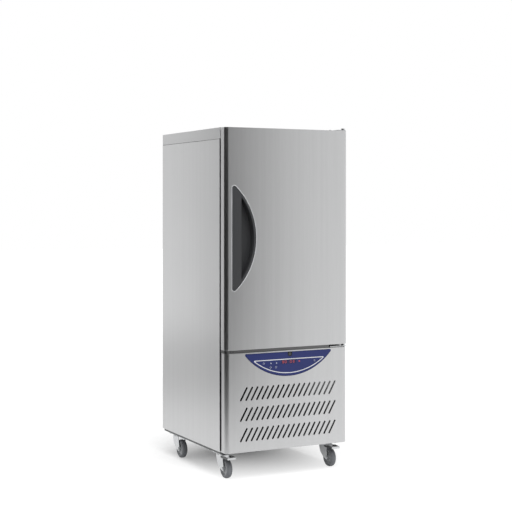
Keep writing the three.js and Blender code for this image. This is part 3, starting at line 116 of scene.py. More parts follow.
class ChillerSizes(bpy.types.PropertyGroup):
    """Sizes of what the frame doesn't give."""

    sheet: length("Sheet", "Thickness of the steel sheet", 1.5 * MM)
    edge: length("Edge", "Rounding along cut and pressed edges", 0.5 * MM)
    fold: length("Fold", "Outer radius where sheet is folded", 2.2 * MM)
    door_corner: length("Door corner", "Radius of the door's upright front corners", 18 * MM)
    panel_corner: length("Panel corner", "Radius of the lower panel's upright front corners", 20 * MM)
    handle_radius: length("Handle radius", "Radius of the handle's bulging edge", 357 * MM)
    handle_tip: length("Handle tip", "Rounding at the handle's two tips", 13 * MM)
    handle_rim: length("Handle rim", "Width of the handle's rim", 12 * MM)
    handle_floor: length("Handle floor", "Thickness of the handle cup's floor", 3 * MM)
    grip_width: length("Grip width", "Width of the bar left of the finger opening", 53 * MM)
    grip_thickness: length("Grip thickness", "Thickness of that bar", 14 * MM)
    slot_pitch: length("Slot pitch", "Distance from slot to slot", 30.65 * MM)
    slot_row_pitch: length("Slot row pitch", "Distance from row to row", 104 * MM)
    slot_row_bottom: length("Lowest slot row", "Height of its middle above the panel's bottom edge", 88.5 * MM)
    slot_height: length("Slot height", "Height of a slot", 69 * MM)
    slot_lean: length("Slot lean", "How far a slot's top stands right of its bottom", 39 * MM)
    slot_width: length("Slot width", "Width of a slot", 9.6 * MM)
    slot_count: IntProperty(name="Slots", description="Slots in a row", default=18, min=1)
    slot_rows: IntProperty(name="Slot rows", description="Rows of slots", default=3, min=1)
    control_radius: length("Control radius", "Radius of the control plate's bulging edge", 334 * MM)
    control_tip: length("Control tip", "Rounding at the control plate's tips", 7 * MM)
    trim_radius: length("Trim radius", "Radius of the silver line's bulging edge", 340 * MM)
    trim_drop: length("Trim drop", "Height of the field inside the silver line", 75 * MM)
    trim_width: length("Trim width", "Width of the silver line", 4 * MM)
    display_width: length("Display width", "Width of the display's window", 88 * MM)
    display_height: length("Display height", "Height of the display's window", 20 * MM)
    digit_height: length("Digit height", "Height of a digit of the display", 13 * MM)
    lid_gap: length("Lid gap", "Shadow gap between the lid and the sides", 1.6 * MM)
    cove: length("Cove", "Radius of the chamber's inner corners", 5 * MM)
    pin_hole: length("Pin hole", "Radius of the door's holes for the hinge pins", 7 * MM)
    pressed_field: length("Pressed field", "Height of the field pressed into the door's liner", 3 * MM)
    probe_grip: length("Probe grip", "Length of the core probe's grip", 75 * MM)
    probe_needle: length("Probe needle", "Radius of the core probe's needle", 1.6 * MM)
    fin_pitch: length("Fin pitch", "Distance from fin to fin on both coils", 5 * MM)
    guard_pitch: length("Guard pitch", "Distance from ring to ring on a fan guard", 14 * MM)
    wheel_sides: IntProperty(name="Wheel sides", description="Facets round a wheel", default=64, min=12)


class ChillerColours(bpy.types.PropertyGroup):
    """Base colours of the finishes."""

    steel: colour("Stainless steel", "Satin sheet of the casing", (0.585, 0.588, 0.592))
    zinc: colour("Zinc", "Bright zinc-plated steel", (0.62, 0.63, 0.64))
    galvanised: colour("Galvanised steel", "Dull zinc-coated sheet", (0.52, 0.54, 0.55))
    aluminium: colour("Aluminium", "Bare fins", (0.74, 0.75, 0.76))
    copper: colour("Copper", "Drawn tube", (0.78, 0.44, 0.29))
    enamel: colour("Black enamel", "Compressor and motors", (0.022, 0.022, 0.025))
    foam: colour("Foam", "Rigid insulation", (0.80, 0.66, 0.38))
    seal: colour("Seal", "Soft dark door seal", (0.035, 0.036, 0.04))
    tyre: colour("Tyre", "Grey tread", (0.13, 0.135, 0.145))
    wheel: colour("Wheel", "Grey wheel centre", (0.30, 0.31, 0.32))
    handle: colour("Handle plastic", "Handle cup", (0.028, 0.029, 0.031))
    mouth: colour("Mouth plastic", "Frame round the chamber's mouth", (0.09, 0.09, 0.095))
    black: colour("Black plastic", "Controller, lock and fans", (0.018, 0.018, 0.02))
    white: colour("White plastic", "Tray and drain", (0.70, 0.70, 0.68))
    blue: colour("Blue foil", "Printed foil of the control plate", (0.017, 0.025, 0.115))
    window: colour("Display window", "Tinted window over the digits", (0.018, 0.02, 0.075))
    # the silver is print on the control plate and a painted highlight on the handle's bead
    silver: colour("Silver print", "Line on the control plate and bead of the handle", (0.62, 0.63, 0.65))
    marks: colour("Marks", "Printed marks beside the keys", (0.55, 0.57, 0.66))
    digits: colour("Digits", "Lit segments", (0.34, 0.035, 0.03))


class ChillerStudio(bpy.types.PropertyGroup):
    """The camera, the lamp and the reflected cards."""

    camera_place: FloatVectorProperty(
        name="Camera",
        description="Where the camera stands",
        default=(-2.9742, -5.8233, 1.3985),
        subtype="TRANSLATION",
    )
    camera_turn: turn("Camera turn", "Turn of the level camera to the right", 27.24)
    camera_lens: FloatProperty(name="Lens", description="Focal length in millimetres", default=83.8, min=1)
    camera_drop: FloatProperty(name="Drop", description="Downward shift of the view", default=0.0982)
    fill: strength("Fill", "Strength of the even light from all round", 0.62)
    key: strength("Key", "Power of the lamp above, in watts", 175)
    floor_tone: colour("Floor tone", "Colour of the floor", (0.86, 0.86, 0.86))
    floor_glow: strength("Floor glow", "Light that the floor adds by itself", 0.08)
    wall_start: turn("Dark wall start", "Left end of the dark wall, from straight ahead", -134)
    wall_end: turn("Dark wall end", "Right end of the dark wall", 17)
    wall_radius: length("Dark wall radius", "Distance of the dark wall", 2.4)
    wall_height: length("Dark wall height", "Top of the dark wall above the floor", 2.9)
    wall_foot: length("Dark wall foot", "How far the middle of the wall's foot comes forward", 0.8)
    card_end: turn("Low card end", "Left end of the low grey card beside the wall", -166)
    card_height: length("Low card height", "Top of the low grey card", 0.45)
    card_glow: strength("Low card glow", "Brightness of the low grey card", 0.8)


def sizes():
    return bpy.context.scene.chiller_sizes


def colours():
    return bpy.context.scene.chiller_colours


# ---------------------------------------------------------------- finishes


class Wire:
    """A shader socket that takes part in Python arithmetic."""

    def __init__(self, graph, socket):
        self.graph = graph
        self.socket = socket

    def maths(self, operation, first, second, clamp=False):
        settings = {"operation": operation, "use_clamp": clamp}
        return self.graph.node("ShaderNodeMath", settings, {0: first, 1: second})

    def __add__(self, other):
        return self.maths("ADD", self, other)

    def __sub__(self, other):
        return self.maths("SUBTRACT", self, other)

    def __rsub__(self, other):
        return self.maths("SUBTRACT", other, self)

    def __mul__(self, other):
        return self.maths("MULTIPLY", self, other)

    __radd__ = __add__
    __rmul__ = __mul__

    def above(self, edge, softness):
        """0 below an edge, 1 above it, with a soft step between."""
        return self.maths("DIVIDE", self - (edge - softness / 2), softness, clamp=True)


class Graph:
    """A node tree that is built from Python."""

    def __init__(self, tree):
        self.tree = tree
        self.tree.nodes.clear()

    def node(self, kind, settings=None, inputs=None, output=0):
        """Adds a node: its settings first, then the values or wires of its sockets."""
        node = self.tree.nodes.new(kind)
        for key, value in (settings or {}).items():
            setattr(node, key, value)
        for key, value in (inputs or {}).items():
            if isinstance(value, Wire):
                self.tree.links.new(value.socket, node.inputs[key])
            else:
                node.inputs[key].default_value = value
        return Wire(self, node.outputs[output] if len(node.outputs) else None)

    def white(self, kind, strength):
        """White light of a strength, from an Emission or a Background node."""
        return self.node(kind, inputs={"Color": (1, 1, 1, 1), "Strength": strength})


class Finish(Graph):
    """A node-based material on Object coordinates."""

    def __init__(self, name):
        self.material = bpy.data.materials.new(name)
        self.material.use_nodes = True
        super().__init__(self.material.node_tree)

    def place(self):
        return self.node("ShaderNodeTexCoord", output="Object")

    def noise(self, scale, stretch=(1, 1, 1), detail=2.0, roughness=0.5):
        """Noise from 0 to 1 with features of about 1/scale metres, drawn out where the stretch is low."""
        mapped = self.node("ShaderNodeMapping", inputs={"Vector": self.place(), "Scale": stretch})
        inputs = {"Vector": mapped, "Scale": scale, "Detail": detail, "Roughness": roughness}
        return self.node("ShaderNodeTexNoise", inputs=inputs)

    def cells(self, scale, output="Distance"):
        return self.node("ShaderNodeTexVoronoi", inputs={"Vector": self.place(), "Scale": scale}, output=output)

    def blend(self, base, tones, factor):
        """A colour between two tones of a base colour."""
        first, second = ((*shade(base, tone), 1) for tone in tones)
        return self.node("ShaderNodeMix", {"data_type": "RGBA"}, {0: factor, 6: first, 7: second}, output=2)

    def surface(self, base, tones, tone, roughness, relief, depth, **constants):
        """A surface between two tones of a base colour, with a relief whose depth is in millimetres."""
        bump = {"Height": relief, "Distance": depth * MM, "Strength": 0.4}
        inputs = {
            "Base Color": self.blend(base, tones, tone),
            "Roughness": roughness,
            "Normal": self.node("ShaderNodeBump", inputs=bump),
        }
        inputs.update({key.replace("_", " "): value for key, value in constants.items()})
        return self.shown(self.node("ShaderNodeBsdfPrincipled", inputs=inputs))

    def shown(self, shader):
        self.node("ShaderNodeOutputMaterial", inputs={"Surface": shader})
        return self.material


def shade(value, factor):
    """A colour made lighter or darker."""
    return tuple(min(1.0, part * factor) for part in value)


def brushed(finish, base, grain, roughness=0.34, depth=1.0):
    """Satin stainless sheet: fine strokes along the grain, faint clouds from rolling and handling."""
    stretch = {"x": (0.012, 1, 1), "y": (1, 0.012, 1), "z": (1, 1, 0.012)}[grain]
    strokes = finish.noise(900, stretch, detail=3.0, roughness=0.65)
    bands = finish.noise(60, stretch)
    clouds = finish.noise(3.0, detail=3.0)
    tone = strokes * 0.5 + bands * 0.3 + clouds * 0.2
    uneven = strokes * 0.12 + clouds * 0.06 + (roughness - 0.09)
    return finish.surface(base, (0.86, 1.14), tone, uneven, strokes, 0.02 * depth, Metallic=1.0)


def plated(finish, base):
    """Zinc plating with faint clouds and dull specks."""
    clouds = finish.noise(45, detail=4.0, roughness=0.6)
    specks = finish.noise(900)
    uneven = clouds * 0.16 + specks * 0.08 + 0.20
    return finish.surface(base, (0.86, 1.08), clouds, uneven, specks, 0.03, Metallic=1.0)


def spangled(finish, base):
    """Dull zinc-coated sheet with its spangle."""
    spangle = finish.node("ShaderNodeRGBToBW", inputs={"Color": finish.cells(70, "Color")})
    dust = finish.noise(9, detail=3.0)
    tone = spangle * 0.7 + dust * 0.3
    uneven = spangle * 0.12 + dust * 0.10 + 0.36
    return finish.surface(base, (0.84, 1.12), tone, uneven, spangle, 0.03, Metallic=0.95)


def streaked(finish, base):
    """Bare aluminium whose tone changes from fin to fin, with dust."""
    streaks = finish.noise(220, (1, 0.1, 0.1), detail=3.0)
    dust = finish.noise(14, detail=3.0)
    tone = streaks * 0.5 + dust * 0.5
    return finish.surface(base, (0.84, 1.06), tone, dust * 0.15 + 0.34, streaks, 0.04, Metallic=1.0)


def tarnished(finish, base):
    """Drawn copper, dulled in patches."""
    tarnish = finish.noise(38, detail=4.0, roughness=0.6)
    return finish.surface(base, (0.55, 1.12), tarnish, tarnish * 0.22 + 0.20, tarnish, 0.05, Metallic=1.0)


def enamelled(finish, base):
    """Enamel with orange peel and settled dust."""
    peel = finish.noise(420)
    dust = finish.noise(16, detail=4.0)
    settled = dust.above(0.55, 0.3)
    return finish.surface(base, (1.0, 2.6), settled, dust * 0.25 + 0.28, peel, 0.12, Coat_Weight=0.3)


def moulded(finish, base, grain_scale=1500, roughness=0.46, gloss=0.5):
    """Moulded plastic with a fine leathery grain and a little uneven shine."""
    grain = finish.cells(grain_scale)
    flow = finish.noise(12, detail=3.0)
    uneven = flow * 0.14 + grain * 0.10 + (roughness - 0.1)
    return finish.surface(base, (0.82, 1.2), flow, uneven, grain, 0.06, Specular_IOR_Level=gloss)


def cup_moulded(finish, base):
    """The handle's moulded plastic, more matt down in the cup, with painted shade that makes it a little darker
    there.
    """
    grain = finish.cells(1500)
    depth = finish.node("ShaderNodeSeparateXYZ", inputs={0: finish.place()}, output="Y")
    # painted shade: the colour darkens a little with depth in the cup, where the roughness also rises
    down = depth.above(HANDLE.low.y + 14 * MM, 10 * MM)
    wear = finish.noise(12, detail=3.0)
    uneven = down * 0.22 + grain * 0.10 + 0.32
    return finish.surface(base, (1.15, 1.1), down * 0.8 + wear * 0.2, uneven, grain, 0.06)


def extruded(finish, base):
    """Extruded door seal, matt, with a little dust."""
    dust = finish.noise(120, detail=4.0)
    return finish.surface(base, (1.0, 1.7), dust, dust * 0.2 + 0.5, dust, 0.08)


def scuffed(finish, base):
    """Tyre rubber with scuffs and dust."""
    scuffs = finish.noise(160, detail=5.0, roughness=0.65)
    dust = finish.noise(28, detail=3.0)
    return finish.surface(base, (0.7, 1.6), scuffs * 0.5 + dust * 0.5, scuffs * 0.2 + 0.52, scuffs, 0.12)


def foamed(finish, base):
    """Rigid foam with open pores."""
    pores = finish.cells(650)
    swirl = finish.noise(20, detail=4.0)
    return finish.surface(base, (0.8, 1.12), swirl, pores * 0.2 + 0.75, pores, 0.4)


def printed(finish, base, roughness=0.32):
    """Printed polyester foil: fine print grain, and a soft sheen that rolls with the sheet, painted into its
    colour and varying its roughness.
    """
    grain = finish.noise(2600, detail=1.0)
    wave = finish.noise(10)
    # the wave's share of the tone is a painted sheen
    tone = grain * 0.4 + wave * 0.6
    uneven = grain * 0.10 + wave * 0.10 + (roughness - 0.1)
    return finish.surface(base, (0.88, 1.14), tone, uneven, grain, 0.02, Specular_IOR_Level=0.3)


def lit(finish, base):
    """Lit display segments behind a tinted window."""
    glow = finish.blend(base, (0.75, 1.2), finish.noise(700, detail=1.0))
    inputs = {"Base Color": glow, "Roughness": 0.4, "Emission Color": glow, "Emission Strength": 0.35}
    return finish.shown(finish.node("ShaderNodeBsdfPrincipled", inputs=inputs))


class Look:
    """A named finish: a slot name, which is not used, what makes it, and its base colour with a tone."""

    def __init__(self, name, slot, make, base, tone=1.0, **settings):
        self.name = name
        self.slot = slot
        self.make = make
        self.base = base
        self.tone = tone
        self.settings = settings

    @cached_property
    def material(self):
        """The material, made when a piece first asks for it."""
        base = shade(getattr(colours(), self.base), self.tone)
        return self.make(Finish(self.name), base, **self.settings)


stainless_upright = Look("stainless_upright_grain", "stainless", brushed, "steel", grain="z")
stainless_level = Look("stainless_level_grain", "stainless", brushed, "steel", grain="y", roughness=0.38)
# steel at 0.30 of its tone: painted shade for the recessed rail in the gap between door and lower panel
stainless_shaded = Look("stainless_shaded", "stainless", brushed, "steel", 0.30, grain="x", roughness=0.45)
stainless_satin = Look("stainless_satin", "stainless", brushed, "steel", grain="z", roughness=0.36, depth=0.2)
stainless_inside = Look("stainless_inside", "stainless", brushed, "steel", 1.05, grain="x", roughness=0.30)
zinc_plate = Look("zinc_plate", "zinc", plated, "zinc")
# zinc plate at 0.16 of its tone, a shaded copy of zinc_plate: painted shade on the lock barrel and the brake
# pedals
zinc_dull = Look("zinc_dull", "zinc", plated, "zinc", 0.16)
galvanised_sheet = Look("galvanised_sheet", "galvanised", spangled, "galvanised")
# galvanised sheet at 0.28 of its tone: painted shade for the base frame under the cabinet
galvanised_dull = Look("galvanised_dull", "galvanised", spangled, "galvanised", 0.28)
aluminium_fin = Look("aluminium_fin", "aluminium", streaked, "aluminium")
# bare aluminium at 0.07 of its tone: painted shade for the condenser coil inside the machine space
aluminium_dusty = Look("aluminium_dusty", "aluminium", streaked, "aluminium", 0.07)
copper_tube = Look("copper_tube", "copper", tarnished, "copper")
black_enamel = Look("black_enamel", "black_enamel", enamelled, "enamel")
handle_plastic = Look("handle_plastic", "handle_plastic", cup_moulded, "handle")
frame_plastic = Look("frame_plastic", "frame_plastic", moulded, "mouth")
black_plastic = Look("black_plastic", "black_plastic", moulded, "black", 0.6, roughness=0.40, gloss=0.2)
white_plastic = Look("white_plastic", "white_plastic", moulded, "white", grain_scale=900)
wheel_plastic = Look("wheel_plastic", "tyre", moulded, "wheel", grain_scale=1200, roughness=0.5)
tyre_rubber = Look("tyre_rubber", "tyre", scuffed, "tyre")
soft_seal = Look("soft_seal", "gasket", extruded, "seal")
rigid_foam = Look("rigid_foam", "foam", foamed, "foam")
blue_foil = Look("blue_foil", "control_blue", printed, "blue")
border_foil = Look("border_foil", "control_blue", printed, "blue", 0.6)
display_window = Look("display_window", "control_blue", printed, "window", roughness=0.2)
# print on the control plate's line; on the handle's bead the same pale colour is a painted highlight
silver_print = Look("silver_print", "zinc", printed, "silver", roughness=0.4)
pale_print = Look("pale_print", "white_plastic", printed, "marks", roughness=0.45)
lit_segments = Look("lit_segments", "control_blue", lit, "digits")


# ---------------------------------------------------------------- modelling


def verts_of(items):
    return [item for item in items if isinstance(item, bmesh.types.BMVert)]


def block(bm, low, high):
    """A box between two corners."""
    low, high = Vector(low), Vector(high)
    matrix = Matrix.Translation((low + high) / 2) @ Matrix.Diagonal((*(high - low), 1))
    return bmesh.ops.create_cube(bm, size=1, matrix=matrix)["verts"]


def solid_block(low, high):
    bm = bmesh.new()
    block(bm, low, high)
    return bm


def set_on(place, direction):
    """The matrix that sets a shape on a place, its Z axis along a direction."""
    return Matrix.Translation(place) @ direction.to_track_quat("Z", "Y").to_matrix().to_4x4()


def rod(bm, start, end, radius, sides, end_radius=None):
    """A round bar from one point to another."""
    start, end = Vector(start), Vector(end)
    made = bmesh.ops.create_cone(
        bm,
        cap_ends=True,
        segments=sides,
        radius1=radius,
        radius2=radius if end_radius is None else end_radius,
        depth=(end - start).length,
        matrix=set_on((start + end) / 2, end - start),
    )
    return made["verts"]


def solid_rod(start, end, radius, sides=32):
    bm = bmesh.new()
    rod(bm, start, end, radius, sides)
    return bm


def edges_between(verts):
    kept = set(verts)
    return list({edge for vert in kept for edge in vert.link_edges if edge.other_vert(vert) in kept})


def sharp_edges(bm, degrees=34):
    limit = math.radians(degrees)
    return [edge for edge in bm.edges if len(edge.link_faces) == 2 and edge.calc_face_angle() > limit]


def held(edges, test):
    """The edges whose two ends both pass a test on their place."""
    return [edge for edge in edges if all(test(vert.co) for vert in edge.verts)]


def runs_along(edge, axis):
    run = (edge.verts[1].co - edge.verts[0].co).normalized()
    return abs(run[axis]) > 0.999


def corner_edges(bm, axis, wanted=None):
    """Edges along an axis on the outermost corners of the shape, where a test on their middle holds."""
    spans = []
    for other in {0, 1, 2} - {axis}:
        values = [vert.co[other] for vert in bm.verts]
        spans.append((other, min(values), max(values)))
    found = []
    for edge in bm.edges:
        middle = (edge.verts[0].co + edge.verts[1].co) / 2
        outermost = all(
            min(abs(middle[other] - low), abs(middle[other] - high)) < TOUCH for other, low, high in spans
        )
        if runs_along(edge, axis) and outermost and (wanted is None or wanted(middle)):
            found.append(edge)
    return found


def soften(bm, edges, offset, segments=2):
    bmesh.ops.bevel(
        bm,
        geom=list(edges),
        offset=offset,
        offset_type="OFFSET",
        segments=segments,
        profile=0.5,
        affect="EDGES",
        clamp_overlap=True,
        loop_slide=True,
        material=-1,
    )


def full_turn(bm, geometry, centre, axis, steps):
    turn = {"angle": math.tau, "steps": steps, "use_merge": True, "use_duplicate": False}
    bmesh.ops.spin(bm, geom=geometry, cent=centre, axis=axis, **turn)
    bmesh.ops.remove_doubles(bm, verts=bm.verts, dist=1e-6)


def wire_ring(bm, centre, radius, wire, axis, sides, wire_sides):
    """A closed wire ring round a centre."""
    side = axis.orthogonal().normalized()
    matrix = set_on(Vector(centre) + side * radius, axis.cross(side))
    made = bmesh.ops.create_circle(bm, segments=wire_sides, radius=wire, matrix=matrix)["verts"]
    full_turn(bm, made + edges_between(made), centre, axis, sides)


def closed_line(bm, places):
    """The vertices and edges of a closed line through places."""
    verts = [bm.verts.new(place) for place in places]
    return verts + [bm.edges.new((verts[i - 1], verts[i])) for i in range(len(verts))]


def turned(bm, profile, centre, axis, steps):
    """A closed profile of (radius, height) points turned round an axis through a centre."""
    centre, side = Vector(centre), axis.orthogonal().normalized()
    line = closed_line(bm, [centre + side * radius + axis * height for radius, height in profile])
    full_turn(bm, line, centre, axis, steps)


def led_on(bm, vert, centre, degrees, steps):
    """Leads an outline on from a vertex along an arc, counter-clockwise as seen from the front."""
    arc = {"angle": math.radians(degrees), "steps": steps, "use_duplicate": False}
    made = bmesh.ops.spin(bm, geom=[vert], cent=centre, axis=FORWARD, **arc)
    return verts_of(made["geom_last"])[0]


def thickened(bm, outline, depth):
    """Closes an outline into a face and gives it thickness towards the back."""
    face = bmesh.ops.contextual_create(bm, geom=outline)["faces"][0]
    made = bmesh.ops.extrude_face_region(bm, geom=[face], use_keep_orig=True)
    bmesh.ops.translate(bm, verts=verts_of(made["geom"]), vec=(0, depth, 0))
    bmesh.ops.recalc_face_normals(bm, faces=bm.faces)


def half_moon(radius, drop, tip, depth, margin=0.0):
    """A solid half moon: its flat edge on the X axis, its bulge down, round tips, all drawn in by a margin."""
    radius, drop, tip = radius - margin, drop - 2 * margin, max(tip - margin, 0.5 * MM)
    centre = radius - drop
    tip_x = math.sqrt((radius - tip) ** 2 - (tip + centre) ** 2)
    lean = math.degrees(math.atan2(-tip - centre, tip_x))
    bm = bmesh.new()
    start = bm.verts.new((tip_x, 0, -margin))
    last = led_on(bm, start, (tip_x, 0, -tip - margin), lean - 90, 10)
    last = led_on(bm, last, (0, 0, centre - margin), -180 - 2 * lean, 96)
    last = led_on(bm, last, (-tip_x, 0, -tip - margin), lean - 90, 10)
    bm.edges.new((last, start))
    thickened(bm, list(bm.edges), depth)
    return bm


def slanted_slot(bm, x, z, front, depth):
    """A slot's cutter: a round-ended bar that leans to the right."""
    size = sizes()
    slant = math.atan2(size.slot_lean, size.slot_height)
    reach = math.hypot(size.slot_lean, size.slot_height) / 2 - size.slot_width / 2
    middle = Vector((x, front, z))
    facing = Matrix.Translation(middle) @ Matrix.Rotation(slant, 4, "Y") @ Matrix.Rotation(math.pi / 2, 4, "X")
    sides, radius = 20, size.slot_width / 2
    matrix = facing @ Matrix.Rotation(math.pi / sides, 4, "Z")
    made = bmesh.ops.create_circle(bm, cap_ends=True, segments=sides, radius=radius, matrix=matrix)
    verts = made["verts"]
    along = Matrix.Rotation(slant, 3, "Y") @ UP
    for end in (-1, 1):
        half = [vert for vert in verts if (vert.co - middle).dot(along) * end > 0]
        bmesh.ops.translate(bm, verts=half, vec=along * reach * end)
    back = bmesh.ops.extrude_face_region(bm, geom=[verts[0].link_faces[0]], use_keep_orig=True)
    bmesh.ops.translate(bm, verts=verts_of(back["geom"]), vec=(0, depth, 0))


def mitred_frame(bm, profile, half_x, half_z, middle):
    """A closed profile of (inset, y) points carried round an upright rectangle with mitred corners."""
    line = closed_line(bm, [(1 - inset, y, 1 - inset) for inset, y in profile])
    full_turn(bm, line, (0, 0, 0), BACKWARD, 4)
    for vert in bm.verts:
        vert.co.x += middle[0] - math.copysign(1 - half_x, vert.co.x)
        vert.co.z += middle[2] - math.copysign(1 - half_z, vert.co.z)


def tube_bend(bm, middle, radius, tube, outward):
    """Half a turn of tube in an upright plane, standing out to the right or the left."""
    middle = Vector(middle)
    start = set_on(middle - UP * radius, RIGHT)
    ring = bmesh.ops.create_circle(bm, segments=12, radius=tube, matrix=start)["verts"]
    axis = FORWARD if outward > 0 else BACKWARD
    geometry = ring + edges_between(ring)
    bmesh.ops.spin(bm, geom=geometry, cent=middle, axis=axis, angle=math.pi, steps=8, use_duplicate=False)


def moved(bm, matrix):
    bmesh.ops.transform(bm, matrix=matrix, verts=bm.verts)
    return bm


def joined(bm, *others):
    """Adds other bmeshes' shapes to one."""
    for other in others:
        mesh = bpy.data.meshes.new("joined")
        other.to_mesh(mesh)
        other.free()
        bm.from_mesh(mesh)
        bpy.data.meshes.remove(mesh)
    return bm


def loose_object(name, bm):
    mesh = bpy.data.meshes.new(name)
    bm.to_mesh(mesh)
    bm.free()
    made = bpy.data.objects.new(name, mesh)
    bpy.context.scene.collection.objects.link(made)
    return made


def combined(bm, other, operation="DIFFERENCE"):
    """One closed shape cut by another, or joined with it."""
    for shape in (bm, other):
        bmesh.ops.recalc_face_normals(shape, faces=shape.faces)
    whole, tool = loose_object("whole", bm), loose_object("tool", other)
    change = whole.modifiers.new("combine", "BOOLEAN")
    change.operation = operation
    change.solver = "EXACT"
    change.object = tool
    evaluated = whole.evaluated_get(bpy.context.evaluated_depsgraph_get())
    mesh = bpy.data.meshes.new_from_object(evaluated)
    made = bmesh.new()
    made.from_mesh(mesh)
    bpy.data.meshes.remove(mesh)
    for temporary in (whole, tool):
        data = temporary.data
        bpy.data.objects.remove(temporary)
        bpy.data.meshes.remove(data)
    bmesh.ops.remove_doubles(made, verts=made.verts, dist=1e-6)
    bmesh.ops.dissolve_limit(made, angle_limit=math.radians(0.2), verts=made.verts, edges=made.edges)
    return made


def clipped(bm, place, away):
    """A closed shape without what lies past a plane, on the side that a direction points to."""
    geometry = list(bm.verts) + list(bm.edges) + list(bm.faces)
    bmesh.ops.bisect_plane(bm, geom=geometry, dist=1e-7, plane_co=place, plane_no=away, clear_outer=True)
    bmesh.ops.holes_fill(bm, edges=[edge for edge in bm.edges if edge.is_boundary], sides=0)
    bmesh.ops.recalc_face_normals(bm, faces=bm.faces)
    return bm


def piece(name, bm, look, body="cabinet", nodes=(), smooth=35):
    """Turns a bmesh into a finished piece that rides on a body and stands for CAD nodes."""
    bmesh.ops.recalc_face_normals(bm, faces=bm.faces)
    made = loose_object(name, bm)
    made.data.polygons.foreach_set("use_smooth", [True] * len(made.data.polygons))
    made.data.set_sharp_from_angle(angle=math.radians(smooth))
    made.data.materials.append(look.material)
    even = made.modifiers.new("even_shading", "WEIGHTED_NORMAL")
    even.keep_sharp = True
    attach(made, body)
    if nodes:
        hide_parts(*nodes)
    return made


def copied(node):
    """A CAD node's shape with its faces made whole."""
    bm = bmesh.new()
    bm.from_mesh(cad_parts[node].data)
    bmesh.ops.remove_doubles(bm, verts=bm.verts, dist=TOUCH)
    bmesh.ops.dissolve_limit(bm, angle_limit=math.radians(0.5), verts=bm.verts, edges=bm.edges)
    return bm


def refined(node, look, body="cabinet", edge=None, folds=()):
    """A CAD node with its outer folds and its sharp edges rounded."""
    bm = copied(node)
    for axis in folds:
        soften(bm, corner_edges(bm, axis), sizes().fold, 4)
    soften(bm, sharp_edges(bm), sizes().edge if edge is None else edge)
    return piece(node + "_skin", bm, look, body, [node])


def shown_as(node, look):
    """A CAD node that shows as it is, in a finish of its own."""
    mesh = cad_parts[node].data
    mesh.materials.clear()
    mesh.materials.append(look.material)


def screw_heads(name, spots, axis, radius, look=zinc_plate):
    """Domed screw heads with a cross recess, standing on their spots."""
    across = axis.orthogonal().normalized()
    sideways = axis.cross(across)
    bm = bmesh.new()
    for spot in map(Vector, spots):
        top = spot + axis * radius * 0.6
        head = bmesh.new()
        verts = rod(head, spot - axis * 0.1 * MM, top, radius, 20, radius * 0.8)
        rim = held(edges_between(verts), lambda place: (place - spot).dot(axis) > radius * 0.5)
        soften(head, rim, radius * 0.3, 3)
        for one, other in ((across, sideways), (sideways, across)):
            sides = (one * radius * 0.9, other * radius * 0.18, axis * radius * 0.6)
            cutter = bmesh.new()
            matrix = Matrix.Translation(top) @ Matrix(sides).transposed().to_4x4()
            bmesh.ops.create_cube(cutter, size=1, matrix=matrix)
            head = combined(head, cutter)
        joined(bm, head)
    return piece(name, bm, look)


def bolt_heads(bm, spots, axis, radius, height):
    """Hexagon nuts or bolt heads standing on their spots."""
    for spot in map(Vector, spots):
        verts = rod(bm, spot, spot + axis * height, radius, 6)
        rim = held(edges_between(verts), lambda place: (place - spot).dot(axis) > height * 0.9)
        soften(bm, rim, radius * 0.12)


def in_metres(points):
    """A profile that was given in millimetres."""
    return [(radius * MM, height * MM) for radius, height in points]


def rounded_pan(low, high, corner, sheet, edge):
    """A folded pan, open at the back, with round upright corners and soft edges at its front."""
    bm = solid_block(low, high)
    soften(bm, corner_edges(bm, 2, lambda middle: middle.y < low.y + sheet), corner, 16)
    rims = [e for e in sharp_edges(bm, 60) if any(v.co.y < high.y - sheet for v in e.verts)]
    soften(bm, rims, edge, 3)
    hollow = solid_block(low + Vector((sheet, sheet, sheet)), high + Vector((-sheet, sheet, -sheet)))
    soften(hollow, corner_edges(hollow, 2, lambda middle: middle.y < low.y + 2 * sheet), corner - sheet, 16)
    return combined(bm, hollow)


# ---------------------------------------------------------------- casing


class ChillerPieces:
    """What the operators that make pieces have in common."""

    bl_options = {"REGISTER", "UNDO"}

    def execute(self, context):
        self.make()
        return {"FINISHED"}


